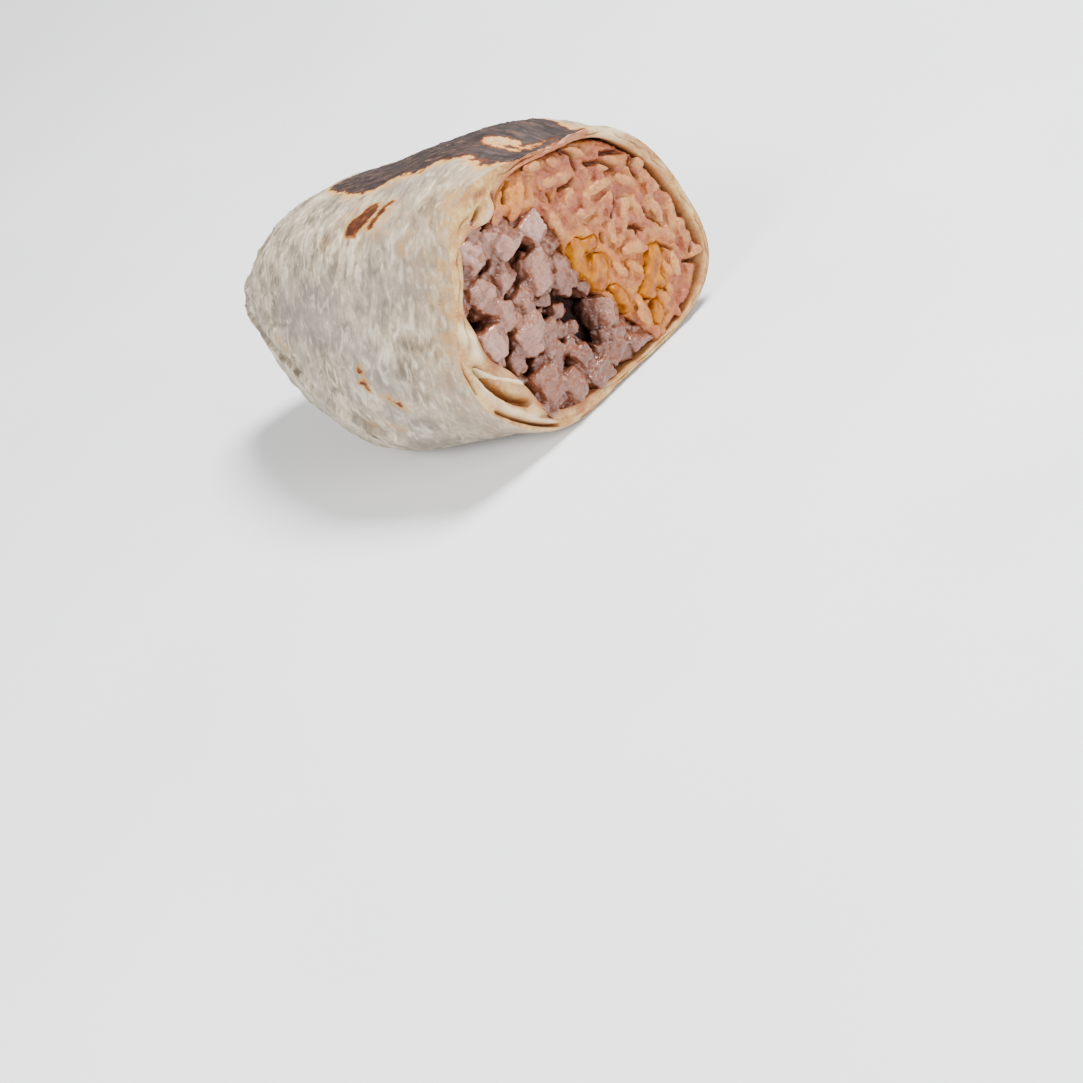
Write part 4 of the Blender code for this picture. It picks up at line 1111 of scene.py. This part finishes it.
def makeDice(materials):
    rng = random.Random(steak["seed"])
    bm = bedMesh(-1, steak["back"], steakHeight, 1.0)
    places = []

    def addOne(y, z, size, spread, front, tone, subdivisions):
        turn = (Matrix.Rotation(rng.uniform(-spread, spread), 3, "X")
                @ Matrix.Rotation(rng.uniform(-0.2, 0.2), 3, "Y"))
        centre = Vector((knifeX(y, z) + front - size.x / 2 + 0.4, y, z))
        addDie(bm, rng, centre, size, turn, front, subdivisions)
        for a in (-0.35, 0.0, 0.35):
            for b in (-0.35, 0.0, 0.35):
                for c in (-0.3, 0.3):
                    places.append((centre + turn @ Vector((c * size.x, a * size.y, b * size.z)), tone))

    for y, z, wide, high, front, tone in steak["dice"]:
        front += rng.uniform(-0.6, 0.5)
        size = Vector((steak["deep"], steak["swell"] * wide, steak["swell"] * high))
        addOne(y, z, size, 0.22, front, tone, 4)

    clear = steak["clear"]

    def accept(y, z):
        return (math.hypot(y, z) < roomAt(angleOf(y, z)) - clear["wrap"]
                and borderSide(y, z) < -clear["rice"] and pitAt(y, z, clear["pit"]) <= 0.0)

    for y, z in scatterFace(rng, steak["scraps"], steak["spacing"], accept):
        size = Vector((rng.uniform(3.0, 4.5), rng.uniform(2.4, 4.0), rng.uniform(2.4, 4.0)))
        addOne(y, z, size, 1.5, -rng.uniform(0.6, 2.2), rng.uniform(0.15, 0.6), 3)
    tree = nearest(places)

    def finish(spot, normal):
        y, z = spot.y, spot.z
        behind = knifeX(y, z) - spot.x
        if behind > steak["paintedTo"]:
            return Vector(), (0.0, 0.0, 1.0)
        facing = max(0.0, normal.x)
        # tone is lower on sides that face away from the knife, and lower towards the bottom
        tone = places[tree.find(spot)[1]][1] * mix(0.45, 1.0, facing) * mix(0.5, 1.0, ease((z + 20.0) / 16.0))
        rough = 0.26 * noise.noise(spot / 1.5) + 0.16 * noise.noise(spot / 0.6)
        # painted shade: darker the deeper it lies behind the knife, and on the sides of the pieces just
        # behind it
        deep = max(0.95 * ease((behind - 1.9) / 3.4), 0.55 * ease((behind - 0.8) / 1.8) * (1.0 - facing))
        return normal * rough, (tone, 0.0, deep)

    return fuse(addPiece("dicedSteak", bm, materials, "steak"), steak["voxel"], 1, finish)


def makeCheese(materials):
    rng = random.Random(cheese["seed"])
    bm = bmesh.new()
    for y, z, wide, high, lean in cheese["blobs"]:
        out = cheese["out"] + rng.uniform(-0.15, 0.15)
        made = bmesh.ops.create_icosphere(bm, subdivisions=4, radius=1.0)["verts"]
        turn = Matrix.Rotation(math.radians(lean), 3, "X")
        seed = rng.uniform(0.0, 50.0)
        for vert in made:
            uneven = 0.3 * noise.noise(vert.co * 1.6 + Vector((seed, 0.0, 0.0)))
            ragged = cheese["swell"] * (1.0 + uneven)
            flat = math.copysign(abs(vert.co.x) ** 0.45, vert.co.x)
            local = Vector((flat * cheese["thick"], vert.co.y * wide * ragged, vert.co.z * high * ragged))
            vert.co = Vector((knifeX(y, z) + out - cheese["thick"], y, z)) + turn @ local
    for y, z, back, radius in cheese["root"]:
        made = bmesh.ops.create_icosphere(bm, subdivisions=3, radius=radius)["verts"]
        bmesh.ops.scale(bm, verts=made, vec=(1.8, 1.0, 1.0))
        bmesh.ops.translate(bm, verts=made, vec=(knifeX(y, z) + back, y, z))

    def finish(spot, normal):
        return normal * (0.28 * noise.noise(spot / 1.7)), (0.0, 1.0, 0.0)

    return fuse(addPiece("meltedCheese", bm, materials, "cheese"), cheese["voxel"], 4, finish)


# Soft lamps in metres: name, place, size, power in watts, and the point they face
studio = {
    "lamps": [
        ("softboxHigh", (0.30, 0.36, 0.85), 0.32, 23.0),
        ("softboxFront", (-0.10, -0.75, 0.60), 0.60, 10.6),
        ("softboxRight", (0.85, -0.20, 0.45), 0.50, 6.4)],
    "aim": (0.0, 0.0, 0.03),
    "world": "#f2f1ef",
    "worldStrength": 0.39,
    "tableReach": 3.0,
}


def makeStage():
    bm = bmesh.new()
    bmesh.ops.create_grid(bm, x_segments=2, y_segments=2, size=studio["tableReach"])
    mesh = bpy.data.meshes.new("paleTable")
    bm.to_mesh(mesh)
    bm.free()
    floor = bpy.data.objects.new("paleTable", mesh)
    bpy.context.scene.collection.objects.link(floor)
    mesh.materials.append(paleTable())


def makeLights():
    for name, spot, size, power in studio["lamps"]:
        lamp = bpy.data.lights.new(name, "AREA")
        lamp.shape = "DISK"
        lamp.size = size
        lamp.energy = power
        made = bpy.data.objects.new(name, lamp)
        bpy.context.scene.collection.objects.link(made)
        made.location = spot
        made.rotation_euler = (Vector(studio["aim"]) - Vector(spot)).to_track_quat("-Z", "Y").to_euler()
    world = bpy.data.worlds.new("studio")
    bpy.context.scene.world = world
    world.use_nodes = True
    sky = world.node_tree.nodes["Background"]
    sky.inputs["Color"].default_value = linear(studio["world"])
    sky.inputs["Strength"].default_value = studio["worldStrength"]


# The camera stands where the photograph was taken: axes and place in the part's frame
shot = {
    "right": (0.8160, 0.3967, -0.4204),
    "up": (0.0714, 0.6526, 0.7543),
    "back": (0.5736, -0.6456, 0.5042),
    "place": (0.3546, -0.4038, 0.2717),
    "focal": 2634.0 / 1083.0,       # in widths of the image
}


def makeCamera():
    eye = bpy.data.cameras.new("eye")
    eye.sensor_fit = "HORIZONTAL"
    eye.sensor_width = 36.0
    eye.lens = 36.0 * shot["focal"]
    eye.clip_start = 0.01
    made = bpy.data.objects.new("eye", eye)
    bpy.context.scene.collection.objects.link(made)
    turn = Matrix((shot["right"], shot["up"], shot["back"])).transposed().to_4x4()
    made.matrix_world = Matrix.Translation(shot["place"]) @ turn
    bpy.context.scene.camera = made


makeStage()
makeLights()
makeCamera()
print("stage ready")
skin, crumb = flourSkin(), cutTortilla()
makeWrap([skin, crumb])
makeTongue([crumb])
print("wrap ready")
riceCoat = coatedRice()
riceBody = bedMesh(1, roll["fillingEnd"], lambda y, z: rice["bodyFront"], 0.9)
addPiece("riceBody", riceBody, [riceCoat], "rice")
makeGrains([riceCoat])
print("rice ready")
meat = dicedSteak()
steakBody = bedMesh(-1, roll["fillingEnd"], lambda y, z: steak["bodyFront"], 1.0)
addPiece("steakBody", steakBody, [meat], "steak")
makeDice([meat])
print("steak ready")
makeCheese([meltedCheddar()])
print("cheese ready")
